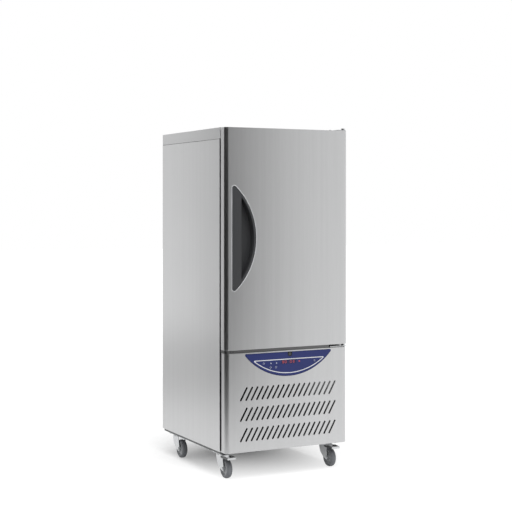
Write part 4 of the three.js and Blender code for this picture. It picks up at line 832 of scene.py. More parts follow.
class CHILLER_OT_casing(ChillerPieces, bpy.types.Operator):
    """Makes the sides, lid, back, base, rail and hinges"""

    bl_idname = "chiller.casing"
    bl_label = "Casing"

    def make(self):
        for side in ("left", "right"):
            refined(side + "_side_panel", stainless_upright, folds=(2,))
        self.lid()
        # the rail's darkened steel is painted shade in the gap between door and lower panel
        refined("mid_rail", stainless_shaded)
        refined("back_panel", galvanised_sheet)
        refined("rear_grille", galvanised_sheet, edge=0.3 * MM)
        # the base frame's darkened sheet is painted shade under the cabinet's bottom edge
        refined("base_frame", galvanised_dull)
        refined("hinge_bottom", zinc_plate, edge=0.8 * MM)
        refined("hinge_top", zinc_plate, edge=1.2 * MM)
        self.back_screws()
        self.hinge_bolts()

    def lid(self):
        """The lid, with a shadow gap over the sides and a dark seal strip in the gap that paints the gap's
        shade.
        """
        size = sizes()
        bm = copied("top_panel")
        for vert in bm.verts:
            if vert.co.z < LID.low.z + 0.5 * MM:
                vert.co.z += size.lid_gap
        soften(bm, corner_edges(bm, 2), size.fold, 4)
        soften(bm, sharp_edges(bm), 1.0 * MM)
        piece("top_panel_skin", bm, stainless_level, nodes=["top_panel"])
        # a dark seal strip behind the gap on each side: painted shade for the gap
        bm = bmesh.new()
        for side in (-1, 1):
            outer, inner = side * (SIDE.low.x + 0.9 * MM), side * (SIDE.low.x + 8 * MM)
            low = (min(outer, inner), SIDE.low.y + 2 * MM, SIDE.high.z - 0.5 * MM)
            block(bm, low, (max(outer, inner), SIDE.high.y - 2 * MM, LID.low.z + size.lid_gap + 1 * MM))
        piece("lid_joint", bm, soft_seal)

    def hinge_bolts(self):
        """Two bolts in each hinge, and two screws in the rail."""
        rail, lower, upper = Extent("mid_rail"), Extent("hinge_bottom"), Extent("hinge_top")
        leaf = 4 * MM
        spots = [(lower.low.x + inset * MM, lower.low.y + 13 * MM, lower.low.z + leaf) for inset in (24, 58)]
        spots += [(upper.low.x + inset * MM, upper.high.y - 16 * MM, LID.high.z + leaf) for inset in (13, 40)]
        bm = bmesh.new()
        bolt_heads(bm, spots, UP, radius=6 * MM, height=4.5 * MM)
        piece("hinge_bolts", bm, black_enamel)
        spots = [(DOOR.low.x + inset * MM, rail.low.y, rail.middle.z) for inset in (32, 48)]
        screw_heads("rail_screws", spots, FORWARD, 3 * MM, black_enamel)

    def back_screws(self):
        """Rows of screws up both edges of the back panel and the grille."""
        inset = 14 * MM
        spots = []
        for sheet, rows in ((Extent("back_panel"), 5), (Extent("rear_grille"), 3)):
            for x in (sheet.low.x + inset, sheet.high.x - inset):
                for row in range(rows):
                    z = sheet.low.z + inset + (sheet.size.z - 2 * inset) * row / (rows - 1)
                    spots.append((x, sheet.high.y, z))
        screw_heads("back_screws", spots, BACKWARD, 4 * MM)


# ---------------------------------------------------------------- chamber


class CHILLER_OT_chamber(ChillerPieces, bpy.types.Operator):
    """Makes the chamber with its frame, racks, fan panel and probe"""

    bl_idname = "chiller.chamber"
    bl_label = "Chamber"

    def make(self):
        shown_as("insulation", rigid_foam)
        refined("door_frame", frame_plastic, edge=2 * MM)
        self.liner()
        for side in ("left", "right"):
            refined("rack_" + side, zinc_plate, edge=0.4 * MM)
        refined("fan_panel", stainless_inside)
        self.fan_panel_details()
        self.probe()

    def liner(self):
        """The chamber liner with coved corners."""
        size = sizes()
        low = LINER.low + Vector((1, 0, 1)) * size.sheet
        high = LINER.high - Vector((1, 1, 1)) * size.sheet

        def planes(vert):
            found = {("low", axis) for axis in (0, 2) if abs(vert.co[axis] - low[axis]) < TOUCH}
            return found | {("high", axis) for axis in (0, 1, 2) if abs(vert.co[axis] - high[axis]) < TOUCH}

        bm = copied("chamber_liner")
        soften(bm, [e for e in bm.edges if len(planes(e.verts[0]) & planes(e.verts[1])) > 1], size.cove, 6)
        soften(bm, sharp_edges(bm), 1.0 * MM)
        piece("chamber_liner_skin", bm, stainless_inside, nodes=["chamber_liner"])

    def fan_panel_details(self):
        """Wire guards over both fan holes, and the screws at the panel's sides."""
        size, panel = sizes(), Extent("fan_panel")
        wire, hole = 1.1 * MM, 125 * MM
        for level in ("lower", "upper"):
            motor = Extent("evaporator_motor_" + level)
            front = motor.low.y - SEAT - size.sheet
            centre = Vector((0, front - wire, motor.middle.z))
            bm = bmesh.new()
            rings = int(hole / size.guard_pitch)
            for ring in range(1, rings + 1):
                wire_ring(bm, centre, hole + 4 * MM - (rings - ring) * size.guard_pitch, wire, FORWARD, 72, 6)
            over = centre + FORWARD * wire * 1.6
            for spoke in range(4):
                reach = Matrix.Rotation(math.pi / 4 * (2 * spoke + 1), 3, "Y") @ RIGHT * (hole + 10 * MM)
                rod(bm, over + reach * 0.08, over + reach, wire * 1.3, 8)
            piece("fan_guard_" + level, bm, zinc_plate)
        spots = []
        for x in (panel.low.x + 14 * MM, panel.high.x - 14 * MM):
            spots += [(x, front, panel.low.z + panel.size.z * share) for share in (0.04, 0.35, 0.65, 0.96)]
        screw_heads("fan_panel_screws", spots, FORWARD, 4 * MM)

    def probe(self):
        """A steel needle in a grooved grip."""
        size, box = sizes(), Extent("core_probe")
        radius, bottom = box.size.x / 2, box.high.z - size.probe_grip
        low, tip = Vector((box.middle.x, box.middle.y, box.low.z)), 9 * MM
        bm = bmesh.new()
        rod(bm, low, low + UP * tip, 0.2 * MM, 16, size.probe_needle)
        rod(bm, low + UP * tip, (low.x, low.y, bottom + 2 * MM), size.probe_needle, 16)
        piece("probe_needle", bm, stainless_inside, "core_probe")
        end, groove = radius - 3 * MM, radius - 1 * MM
        profile = [(0, 0), (end, 0), (radius, 4 * MM)]
        for start in range(16, 61, 9):
            around = ((radius, start), (groove, start + 1), (groove, start + 3), (radius, start + 4))
            profile += [(reach, height * MM) for reach, height in around]
        profile += [(radius, size.probe_grip - 3 * MM), (end, size.probe_grip), (0, size.probe_grip)]
        bm = bmesh.new()
        turned(bm, profile, (low.x, low.y, bottom), UP, 32)
        piece("probe_grip", bm, black_plastic, "core_probe", ["core_probe"])


# ---------------------------------------------------------------- door


class CHILLER_OT_door(ChillerPieces, bpy.types.Operator):
    """Makes the door with its handle, liner and seal"""

    bl_idname = "chiller.door"
    bl_label = "Door"

    def make(self):
        self.skin()
        self.handle()
        self.seal()
        shown_as("door_foam", rigid_foam)
        self.liner()

    def handle_moon(self, front, depth, margin=0.0):
        """The handle's half moon, its bulge to the right."""
        size = sizes()
        bm = half_moon(size.handle_radius, HANDLE.size.x, size.handle_tip, depth, margin)
        place = Matrix.Translation((HANDLE.low.x, front, HANDLE.middle.z))
        return moved(bm, place @ Matrix.Rotation(-math.pi / 2, 4, "Y"))

    def skin(self):
        size = sizes()
        lip = 1.2 * MM
        bm = rounded_pan(DOOR.low, DOOR.high, size.door_corner, size.sheet, lip)
        bm = combined(bm, self.handle_moon(DOOR.low.y - THROUGH, depth=3 * THROUGH, margin=-SEAT))
        on_face = held(sharp_edges(bm, 70), lambda place: abs(place.y - DOOR.low.y) < TOUCH)
        soften(bm, held(on_face, lambda place: place.x < HANDLE.high.x + 1 * MM), lip, 3)
        pin = Vector((HINGE.high.x - HINGE_CAP, HINGE.low.y + HINGE_CAP, 0))
        bm = combined(bm, solid_rod(pin, pin + UP * 2 * DOOR.high.z, size.pin_hole))
        play = Vector((1, 1, 10)) * MM
        bm = combined(bm, solid_block(BOLT.low - play, BOLT.high + play))
        piece("door_skin", bm, stainless_satin, "door", ["door_outer"], smooth=30)

    def handle(self):
        """The cup, hollowed out beside and under its grip, with rounded edges and a bead round it whose pale
        silver print is a painted highlight.
        """
        size = sizes()
        front, back = HANDLE.low.y, HANDLE.high.y
        floor = back - size.handle_floor
        grip_edge = HANDLE.low.x + size.grip_width
        centre = Vector((HANDLE.high.x - size.handle_radius, front, HANDLE.middle.z))
        far = size.handle_radius - 0.5 * MM
        bm = self.handle_moon(front, back - front)
        mouth = self.handle_moon(front - THROUGH, floor - front + THROUGH, size.handle_rim)
        mouth = clipped(mouth, (grip_edge, 0, 0), -RIGHT)
        under = self.handle_moon(
            front + size.grip_thickness, floor - front - size.grip_thickness, size.handle_rim
        )
        bm = combined(combined(bm, mouth), under)

        def at_front(place):
            return place.y < front + TOUCH

        inner = held(sharp_edges(bm, 40), lambda place: abs(place.x - grip_edge) < TOUCH and at_front(place))
        soften(bm, inner, 4 * MM, 6)
        arc = held(sharp_edges(bm, 40), lambda place: (place - centre).length > far and at_front(place))
        soften(bm, arc, 6 * MM, 6)
        outer = held(sharp_edges(bm, 40), lambda place: abs(place.x - HANDLE.low.x) < TOUCH)
        soften(bm, [edge for edge in outer if runs_along(edge, 2) and at_front(edge.verts[0].co)], 7 * MM, 8)
        soften(bm, sharp_edges(bm, 40), 1.6 * MM, 3)
        piece("handle_cup", bm, handle_plastic, "door", ["door_handle"])
        # the bead's pale silver print paints the highlight along the handle's rim
        bead = self.handle_moon(front - 1.0 * MM, depth=3 * MM, margin=-2.4 * MM)
        bead = combined(bead, self.handle_moon(front - THROUGH, depth=12 * MM, margin=-0.2 * MM))
        soften(bead, sharp_edges(bead, 60), 0.9 * MM, 3)
        piece("handle_bead", bead, silver_print, "door")

    def liner(self):
        """The door's inner sheet with its pressed field."""
        size, sheet = sizes(), Extent("door_liner")
        rim = Vector((80, 0, 80)) * MM
        low = Vector((sheet.low.x, sheet.high.y - 0.2 * MM, sheet.low.z)) + rim
        high = Vector((sheet.high.x, sheet.high.y + size.pressed_field, sheet.high.z)) - rim
        field = solid_block(low, high)
        soften(field, corner_edges(field, 1), 14 * MM, 8)
        soften(field, held(sharp_edges(field, 60), lambda place: place.y > high.y - TOUCH), 2.6 * MM, 4)
        bm = copied("door_liner")
        soften(bm, sharp_edges(bm), size.edge)
        piece("door_liner_skin", joined(bm, field), stainless_inside, "door", ["door_liner"])

    def seal(self):
        """The seal round the door's back, with a groove along its side."""
        gasket, width = Extent("door_gasket"), 36 * MM
        outer = in_metres([(0, 0), (0, 3), (3, 4.5), (3, 6), (0, 7.5), (0, 13.7), (1, 14.7)])
        profile = [(inset, gasket.low.y + rise) for inset, rise in outer]
        profile += [(width - inset, y) for inset, y in reversed(profile)]
        bm = bmesh.new()
        mitred_frame(bm, profile, gasket.size.x / 2, gasket.size.z / 2, gasket.middle)
        piece("door_seal", bm, soft_seal, "door", ["door_gasket"])


# ---------------------------------------------------------------- lower front panel


class CHILLER_OT_lower_panel(ChillerPieces, bpy.types.Operator):
    """Makes the removable front panel with its air slots"""

    bl_idname = "chiller.lower_panel"
    bl_label = "Lower front panel"

    def make(self):
        size = sizes()
        pan_back = DOOR.high.y
        high = Vector((LOWER.high.x, pan_back, LOWER.high.z))
        bm = rounded_pan(LOWER.low, high, size.panel_corner, size.sheet, 1.2 * MM)
        cutter = bmesh.new()
        for row in range(size.slot_rows):
            for place in range(size.slot_count):
                x = CONTROL.middle.x + (place - (size.slot_count - 1) / 2) * size.slot_pitch
                z = LOWER.low.z + size.slot_row_bottom + row * size.slot_row_pitch
                slanted_slot(cutter, x, z, LOWER.low.y - THROUGH, 12 * MM)
        bm = combined(bm, cutter)
        inset, front = 8 * MM, LOWER.low.y
        low = (CONTROLLER.low.x + inset, front - inset, CONTROLLER.low.z)
        bm = combined(bm, solid_block(low, (CONTROLLER.high.x - inset, front + inset, BEZEL.high.z)))
        play = Vector((1, 1, 0)) * MM
        bm = combined(bm, solid_block(BOLT.low - play, BOLT.high + play))
        flange = SIDE.high.x
        for z in (LOWER.low.z, LOWER.high.z - size.sheet):
            block(bm, (flange, pan_back - 0.2 * MM, z), (-flange, LOWER.high.y, z + size.sheet))
        piece("lower_panel_skin", bm, stainless_satin, "cabinet", ["lower_front_panel"], smooth=30)


# ---------------------------------------------------------------- controls


SEGMENTS = {0: "abcdef", 3: "abcdg", 9: "abcdfg"}


class CHILLER_OT_controls(ChillerPieces, bpy.types.Operator):
    """Makes the control plate with its display, keys, printed marks and lock"""

    bl_idname = "chiller.controls"
    bl_label = "Controls"

    def make(self):
        self.plate()
        self.trim()
        self.display()
        self.keys()
        refined("controller", black_plastic)
        refined("lock_bezel", black_plastic, edge=0.3 * MM)
        self.barrel()
        self.printed_marks()
        refined("lock_bolt", zinc_plate, "lock_bolt")

    def barrel(self):
        """The lock's barrel with its keyway."""
        bm = copied("lock_barrel")
        soften(bm, sharp_edges(bm), 0.3 * MM)
        face = Vector((BEZEL.middle.x, BARREL.low.y, BARREL.high.z - 8 * MM))
        half = Vector((0.9, 3, 3.4)) * MM
        bm = combined(bm, solid_block(face - half, face + half))
        # the barrel's darkened zinc is painted shade in the lock's bezel
        piece("lock_barrel_skin", bm, zinc_dull, "lock_barrel", ["lock_barrel"])

    def printed_marks(self):
        """A snowflake beside each chill key."""
        bm = bmesh.new()
        for key in ("key_soft_chill", "key_hard_chill"):
            box = Extent(key)
            middle = Vector((box.middle.x + 3 * MM, CONTROL.low.y - 0.15 * MM, box.middle.z + 21 * MM))
            for turn in range(3):
                reach = Matrix.Rotation(math.pi / 3 * turn, 3, "Y") @ UP * 4.5 * MM
                bar(bm, middle - reach, middle + reach, 1.1 * MM, 0.3 * MM)
        piece("printed_marks", bm, pale_print)

    def moon(self, front, depth, margin=0.0):
        """The control plate's half moon."""
        size = sizes()
        bm = half_moon(size.control_radius, CONTROL.size.z, size.control_tip, depth, margin)
        return moved(bm, Matrix.Translation((CONTROL.middle.x, front, CONTROL.high.z)))

    def plate(self):
        """The plate with its openings, and the dark border printed round it."""
        size = sizes()
        front = CONTROL.low.y
        bm = self.moon(front, CONTROL.size.y)
        holes = [(Extent(key).middle, size_of_key(key) + 0.5 * MM) for key in KEYS]
        holes.append((Vector((BEZEL.middle.x, 0, BARREL.middle.z)), BARREL.size.z / 2 + 2.3 * MM))
        for middle, radius in holes:
            middle = Vector((middle.x, front, middle.z))
            bm = combined(bm, solid_rod(middle + FORWARD * 9 * MM, middle + BACKWARD * 9 * MM, radius))
        middle = self.display_middle()
        half = Vector((size.display_width / 2, 9 * MM, size.display_height / 2)) + Vector((1, 0, 1)) * 0.3 * MM
        bm = combined(bm, solid_block(middle - half, middle + half))
        soften(bm, sharp_edges(bm, 50), 0.3 * MM)
        piece("control_plate", bm, blue_foil, "cabinet", ["control_panel"])
        border = self.moon(front - 0.08 * MM, depth=0.2 * MM, margin=0.6 * MM)
        border = combined(border, self.moon(front - 1 * MM, depth=2 * MM, margin=3.2 * MM))
        border = combined(border, solid_block(BEZEL.low, BEZEL.high + Vector((0, 0, 10 * MM))))
        piece("control_border", border, border_foil)

    def trim(self):
        """The silver line."""
        size = sizes()
        front = CONTROL.low.y
        place = Matrix.Translation((CONTROL.middle.x + 2.5 * MM, front - 0.15 * MM, CONTROL.high.z - 36.3 * MM))
        shape = (size.trim_radius, size.trim_drop, 4 * MM)
        inner = moved(half_moon(*shape, 2 * MM, size.trim_width), Matrix.Translation((0, -1 * MM, 0)))
        bm = combined(half_moon(*shape, 0.3 * MM), inner)
        piece("silver_line", moved(bm, place), silver_print)

    def display_middle(self):
        return Vector((CONTROL.middle.x, CONTROL.low.y, CONTROL.high.z - 52 * MM))

    def display(self):
        """The window, its plain digits and a dot."""
        size = sizes()
        middle = self.display_middle()
        front = middle.y - 0.1 * MM
        half = Vector((size.display_width / 2, 0, size.display_height / 2))
        window = solid_block(middle - half + FORWARD * 0.1 * MM, middle + half + BACKWARD * 1 * MM)
        soften(window, corner_edges(window, 1), 1.5 * MM, 4)
        piece("display_glass", window, display_window)
        bm = bmesh.new()
        height = size.digit_height
        for left, numbers in ((-34 * MM, (9, 0)), (12 * MM, (0, 3))):
            for place, number in enumerate(numbers):
                corner = Vector((left + place * height * 1.16, front, middle.z - height / 2))
                digit(bm, corner, height * 0.86, height, SEGMENTS[number])
        piece("display_digits", bm, lit_segments)
        corner = Vector((64 * MM, front, middle.z - 4 * MM))
        dot = solid_block(corner, corner + Vector((8, 0.5, 7)) * MM)
        soften(dot, corner_edges(dot, 1), 1 * MM, 3)
        piece("display_dot", dot, lit_segments)

    def keys(self):
        """The four round keys, each with a ring printed on it."""
        for key in KEYS:
            box = Extent(key)
            radius = size_of_key(key)
            bm = bmesh.new()
            start = Vector((box.middle.x, box.high.y, box.middle.z))
            verts = rod(bm, start, start + FORWARD * box.size.y, radius, 48)
            rim = held(edges_between(verts), lambda place: place.y < box.low.y + TOUCH)
            soften(bm, rim, 0.8 * MM, 4)
            piece(key + "_cap", bm, blue_foil, key, [key])
            mark = bmesh.new()
            wire_ring(mark, (0, 0, 0), radius * 0.64, 0.5 * MM, FORWARD, 48, 6)
            flat = Matrix.Diagonal((1, 0.3, 1, 1))
            moved(mark, Matrix.Translation((box.middle.x, box.low.y, box.middle.z)) @ flat)
            piece(key + "_mark", mark, pale_print, key)


def size_of_key(key):
    return Extent(key).size.z / 2


def bar(bm, start, end, width, depth):
    """A flat bar between two points of a front view, pointed at its ends, standing out by a depth."""
    start, end = Vector(start), Vector(end)
    along = (end - start).normalized()
    across = along.cross(FORWARD) * width / 2
    inset = along * width / 2
    outline = [start, start + inset + across, end - inset + across]
    outline += [end, end - inset - across, start + inset - across]
    verts = [bm.verts.new(place + FORWARD * depth / 2) for place in outline]
    face = bm.faces.new(verts)
    made = bmesh.ops.extrude_face_region(bm, geom=[face], use_keep_orig=True)
    bmesh.ops.translate(bm, verts=verts_of(made["geom"]), vec=-FORWARD * depth)


def digit(bm, corner, width, height, segments):
    """A seven-segment digit from its lower left corner."""
    thick = height * 0.17
    left, right = thick / 2, width - thick / 2
    low, middle, high = thick / 2, height / 2, height - thick / 2
    ends = {
        "a": ((left, high), (right, high)),
        "b": ((right, middle), (right, high)),
        "c": ((right, low), (right, middle)),
        "d": ((left, low), (right, low)),
        "e": ((left, low), (left, middle)),
        "f": ((left, middle), (left, high)),
        "g": ((left, middle), (right, middle)),
    }
    for name in segments:
        start, end = (corner + Vector((x, 0, z)) for x, z in ends[name])
        gap = (end - start).normalized() * 0.25 * MM
        bar(bm, start + gap, end - gap, thick, 0.3 * MM)


# ---------------------------------------------------------------- cooling


class CHILLER_OT_cooling(ChillerPieces, bpy.types.Operator):
    """Makes the fans, coils, compressor, electrical box and pipes"""

    bl_idname = "chiller.cooling"
    bl_label = "Cooling"

    def make(self):
        for level in ("lower", "upper"):
            refined("evaporator_fan_" + level, black_plastic, "evaporator_fan_" + level, edge=0.3 * MM)
            refined("evaporator_motor_" + level, black_enamel, edge=0.8 * MM)
        refined("condenser_fan", black_plastic, "condenser_fan", edge=0.3 * MM)
        refined("condenser_motor", black_enamel, edge=0.8 * MM)
        refined("condenser_shroud", galvanised_sheet)
        self.compressor()
        self.power_box()
        refined("evaporation_tray", white_plastic, edge=1.0 * MM)
        refined("drain_pipe", white_plastic, edge=0.4 * MM)
        for pipe in ("suction_pipe", "discharge_pipe"):
            refined(pipe, copper_tube, edge=0.4 * MM)
        coil = Extent("evaporator_coil")
        left, right = coil.low.x + 26 * MM, coil.high.x - 26 * MM
        self.coil("evaporator_coil", aluminium_fin, left, right, pitch=38 * MM, tube=5 * MM, rows=3)
        coil = Extent("condenser_coil")
        left, right = coil.low.x + 40 * MM, coil.high.x - 18 * MM
        # the condenser's darkened fins are painted shade, seen through the panel's slots
        self.coil("condenser_coil", aluminium_dusty, left, right, pitch=25 * MM, tube=4 * MM, rows=2)
        inset = 12 * MM
        header = Vector((coil.low.x + inset, coil.middle.y, coil.low.z + inset))
        bm = solid_rod(header, header + UP * (coil.size.z - 2 * inset), 9 * MM, 24)
        piece("condenser_header", bm, copper_tube)

    def coil(self, node, look, left, right, pitch, tube, rows):
        """Fins between two end plates, and tubes through them whose bends show outside."""
        box = Extent(node)
        fins = bmesh.new()
        half_fin, half_plate = 0.15 * MM, 0.75 * MM
        count = int((right - left) / sizes().fin_pitch)
        for place in range(count):
            x = left + (right - left) * (place + 0.5) / count
            low = (x - half_fin, box.low.y + 1 * MM, box.low.z + 2 * MM)
            block(fins, low, (x + half_fin, box.high.y - 1 * MM, box.high.z - 2 * MM))
        for x in (left, right):
            block(fins, (x - half_plate, box.low.y, box.low.z), (x + half_plate, box.high.y, box.high.z))
        piece(node + "_fins", fins, look, nodes=[node])
        tubes = bmesh.new()
        levels = int(box.size.z / pitch) - 1
        for row in range(rows):
            y = box.low.y + box.size.y * (row + 0.5) / rows
            for level in range(levels):
                z = box.middle.z + (level - (levels - 1) / 2) * pitch
                rod(tubes, (left - 2 * MM, y, z), (right + 2 * MM, y, z), tube, 12)
                if level < levels - 1:
                    outward = 1 if level % 2 else -1
                    end = right + 1 * MM if level % 2 else left - 1 * MM
                    tube_bend(tubes, (end, y, z + pitch / 2), pitch / 2, tube, outward)
        piece(node + "_tubes", tubes, copper_tube)

    def compressor(self):
        """A welded can on a foot plate with rubber feet, its stubs and its terminal cover."""
        box = Extent("compressor")
        bottom = box.low.z + 11.7 * MM
        centre = Vector((box.middle.x, box.middle.y, bottom))
        can = [(0, 0), (58, 2), (76, 10), (86, 26), (88, 40), (88, 99), (90.5, 100), (90.5, 106), (88, 107)]
        can += [(88, 160), (85, 178), (76, 194), (58, 205), (34, 209.5), (0, 210)]
        bm = bmesh.new()
        turned(bm, in_metres(can), centre, UP, 64)
        low = (box.low.x, centre.y - 40 * MM, bottom - 2 * MM)
        plate = solid_block(low, (box.high.x, centre.y + 40 * MM, bottom + 3 * MM))
        soften(plate, corner_edges(plate, 2), 12 * MM, 6)
        low = (box.high.x - 24 * MM, centre.y - 30 * MM, bottom + 45 * MM)
        cover = solid_block(low, (box.high.x - 6 * MM, centre.y + 30 * MM, bottom + 125 * MM))
        soften(cover, sharp_edges(cover), 4 * MM, 4)
        bm = joined(bm, plate, cover)
        for stub, start in ((centre, 190 * MM), (centre + Vector((40, -30, 0)) * MM, 150 * MM)):
            rod(bm, stub + UP * start, (stub.x, stub.y, box.high.z), 8 * MM, 24)
        piece("compressor_can", bm, black_enamel, nodes=["compressor"])
        feet, bolts = bmesh.new(), bmesh.new()
        for side in (-1, 1):
            for end in (-1, 1):
                x = centre.x + side * (box.size.x / 2 - 14 * MM)
                foot = Vector((x, centre.y + end * 26 * MM, box.low.z))
                profile = in_metres([(4, 0), (11, 0), (11, 4), (9, 5.5), (11, 7), (11, 9.4), (4, 9.4)])
                turned(feet, profile, foot, UP, 24)
                on_plate = foot + UP * (bottom - box.low.z + 3 * MM)
                bolt_heads(bolts, [on_plate], UP, radius=6.5 * MM, height=5 * MM)
        piece("compressor_feet", feet, tyre_rubber)
        piece("compressor_bolts", bolts, zinc_plate)

    def power_box(self):
        """The electrical box with its lid's screws, and the gland for the mains lead."""
        box, gland_proud = Extent("power_box"), 7.5 * MM
        back = box.high.y - gland_proud
        body = solid_block(box.low, (box.high.x, back, box.high.z))
        soften(body, sharp_edges(body), 1.5 * MM, 3)
        piece("power_box_skin", body, galvanised_sheet, nodes=["power_box"])
        inset = 12 * MM
        columns = (box.low.x + inset, box.high.x - inset)
        spots = [(x, box.low.y, z) for x in columns for z in (box.low.z + inset, box.high.z - inset)]
        screw_heads("power_box_screws", spots, FORWARD, 3.5 * MM)
        middle = Vector((box.middle.x, back, box.middle.z))
        nut = bmesh.new()
        bolt_heads(nut, [middle + BACKWARD * 3 * MM], BACKWARD, radius=14.5 * MM, height=4.4 * MM)
        gland = solid_rod(middle - BACKWARD * 1 * MM, middle + BACKWARD * 4 * MM, 16 * MM, 40)
        gland = combined(gland, nut, "UNION")
        gland = combined(gland, solid_rod(middle, middle + BACKWARD * 20 * MM, 6.5 * MM, 32))
        piece("mains_gland", gland, black_plastic)


# ---------------------------------------------------------------- castors


class CHILLER_OT_castors(ChillerPieces, bpy.types.Operator):
    """Makes the four swivel castors and the two brake pedals"""

    bl_idname = "chiller.castors"
    bl_label = "Castors"

    def make(self):
        for corner in CASTORS:
            refined("castor_plate_" + corner, zinc_plate, edge=0.6 * MM)
            refined("castor_fork_" + corner, zinc_plate, "castor_fork_" + corner, edge=0.5 * MM)
            self.wheel(corner)
            self.fasteners(corner)
        for corner in BRAKED:
            pedal = "castor_pedal_" + corner
            # the pedal's darkened zinc is painted shade; its lip keeps the plain zinc
            refined(pedal, zinc_dull, pedal, edge=0.4 * MM)
            box = Extent(pedal)
            low = box.low + Vector((0, -0.2, 1)) * MM
            lip = solid_block(low, (box.high.x, box.low.y + 2.8 * MM, box.low.z + 12.4 * MM))
            soften(lip, sharp_edges(lip), 0.8 * MM)
            piece("pedal_lip_" + corner, lip, zinc_plate, pedal)

    def fasteners(self, corner):
        """The plate's four bolts, the kingpin's head and the axle's two nuts."""
        plate, wheel = Extent("castor_plate_" + corner), Extent("castor_wheel_" + corner)
        middle, under = plate.middle, plate.high.z - 3 * MM
        bm = bmesh.new()
        for x in (plate.low.x + 10 * MM, plate.high.x - 10 * MM):
            for y in (plate.low.y + 10 * MM, plate.high.y - 10 * MM):
                bolt_heads(bm, [(x, y, under)], -UP, radius=6.5 * MM, height=5 * MM)
        piece("castor_bolts_" + corner, bm, zinc_plate)
        bm = bmesh.new()
        kingpin = (middle.x, middle.y, plate.low.z - 4.3 * MM)
        bolt_heads(bm, [kingpin], -UP, radius=9 * MM, height=5 * MM)
        for outward in (-RIGHT, RIGHT):
            axle_end = wheel.middle + outward * 21 * MM
            bolt_heads(bm, [axle_end], outward, radius=8 * MM, height=4.5 * MM)
        piece("castor_nuts_" + corner, bm, zinc_plate, "castor_fork_" + corner)

    def wheel(self, corner):
        """A tyre on a dished centre with a bore for the axle."""
        node = "castor_wheel_" + corner
        box = Extent(node)
        half, radius = box.size.x / 2, box.size.z / 2
        rim, hub, bore = radius * 0.74, radius * 0.28, 4.5 * MM
        steps = sizes().wheel_sides
        # distances in from the tread and the side, in millimetres
        side = [(7, 1.2), (2.4, 4.5), (0.5, 8.5), (0, 12.5)]
        left = [(rim, -half + 2 * MM), (rim + 2 * MM, -half + 0.6 * MM)]
        left += [(radius - inset * MM, -half + edge * MM) for inset, edge in side]
        bm = bmesh.new()
        turned(bm, both_sides(left), box.middle, RIGHT, steps)
        piece(node + "_tyre", bm, tyre_rubber, node, [node])
        left = [(bore, -half), (hub, -half), (hub + 1.5 * MM, -half + 6 * MM), (rim - 4 * MM, -half + 7 * MM)]
        left += [(rim - 2 * MM, -half + 1.5 * MM), (rim + 0.2 * MM, -half + 2 * MM)]
        bm = bmesh.new()
        turned(bm, both_sides(left), box.middle, RIGHT, steps)
        piece(node + "_centre", bm, wheel_plastic, node)


def both_sides(half):
    """A turned profile from its left half."""
    return half + [(radius, -height) for radius, height in reversed(half)]


# ---------------------------------------------------------------- stage


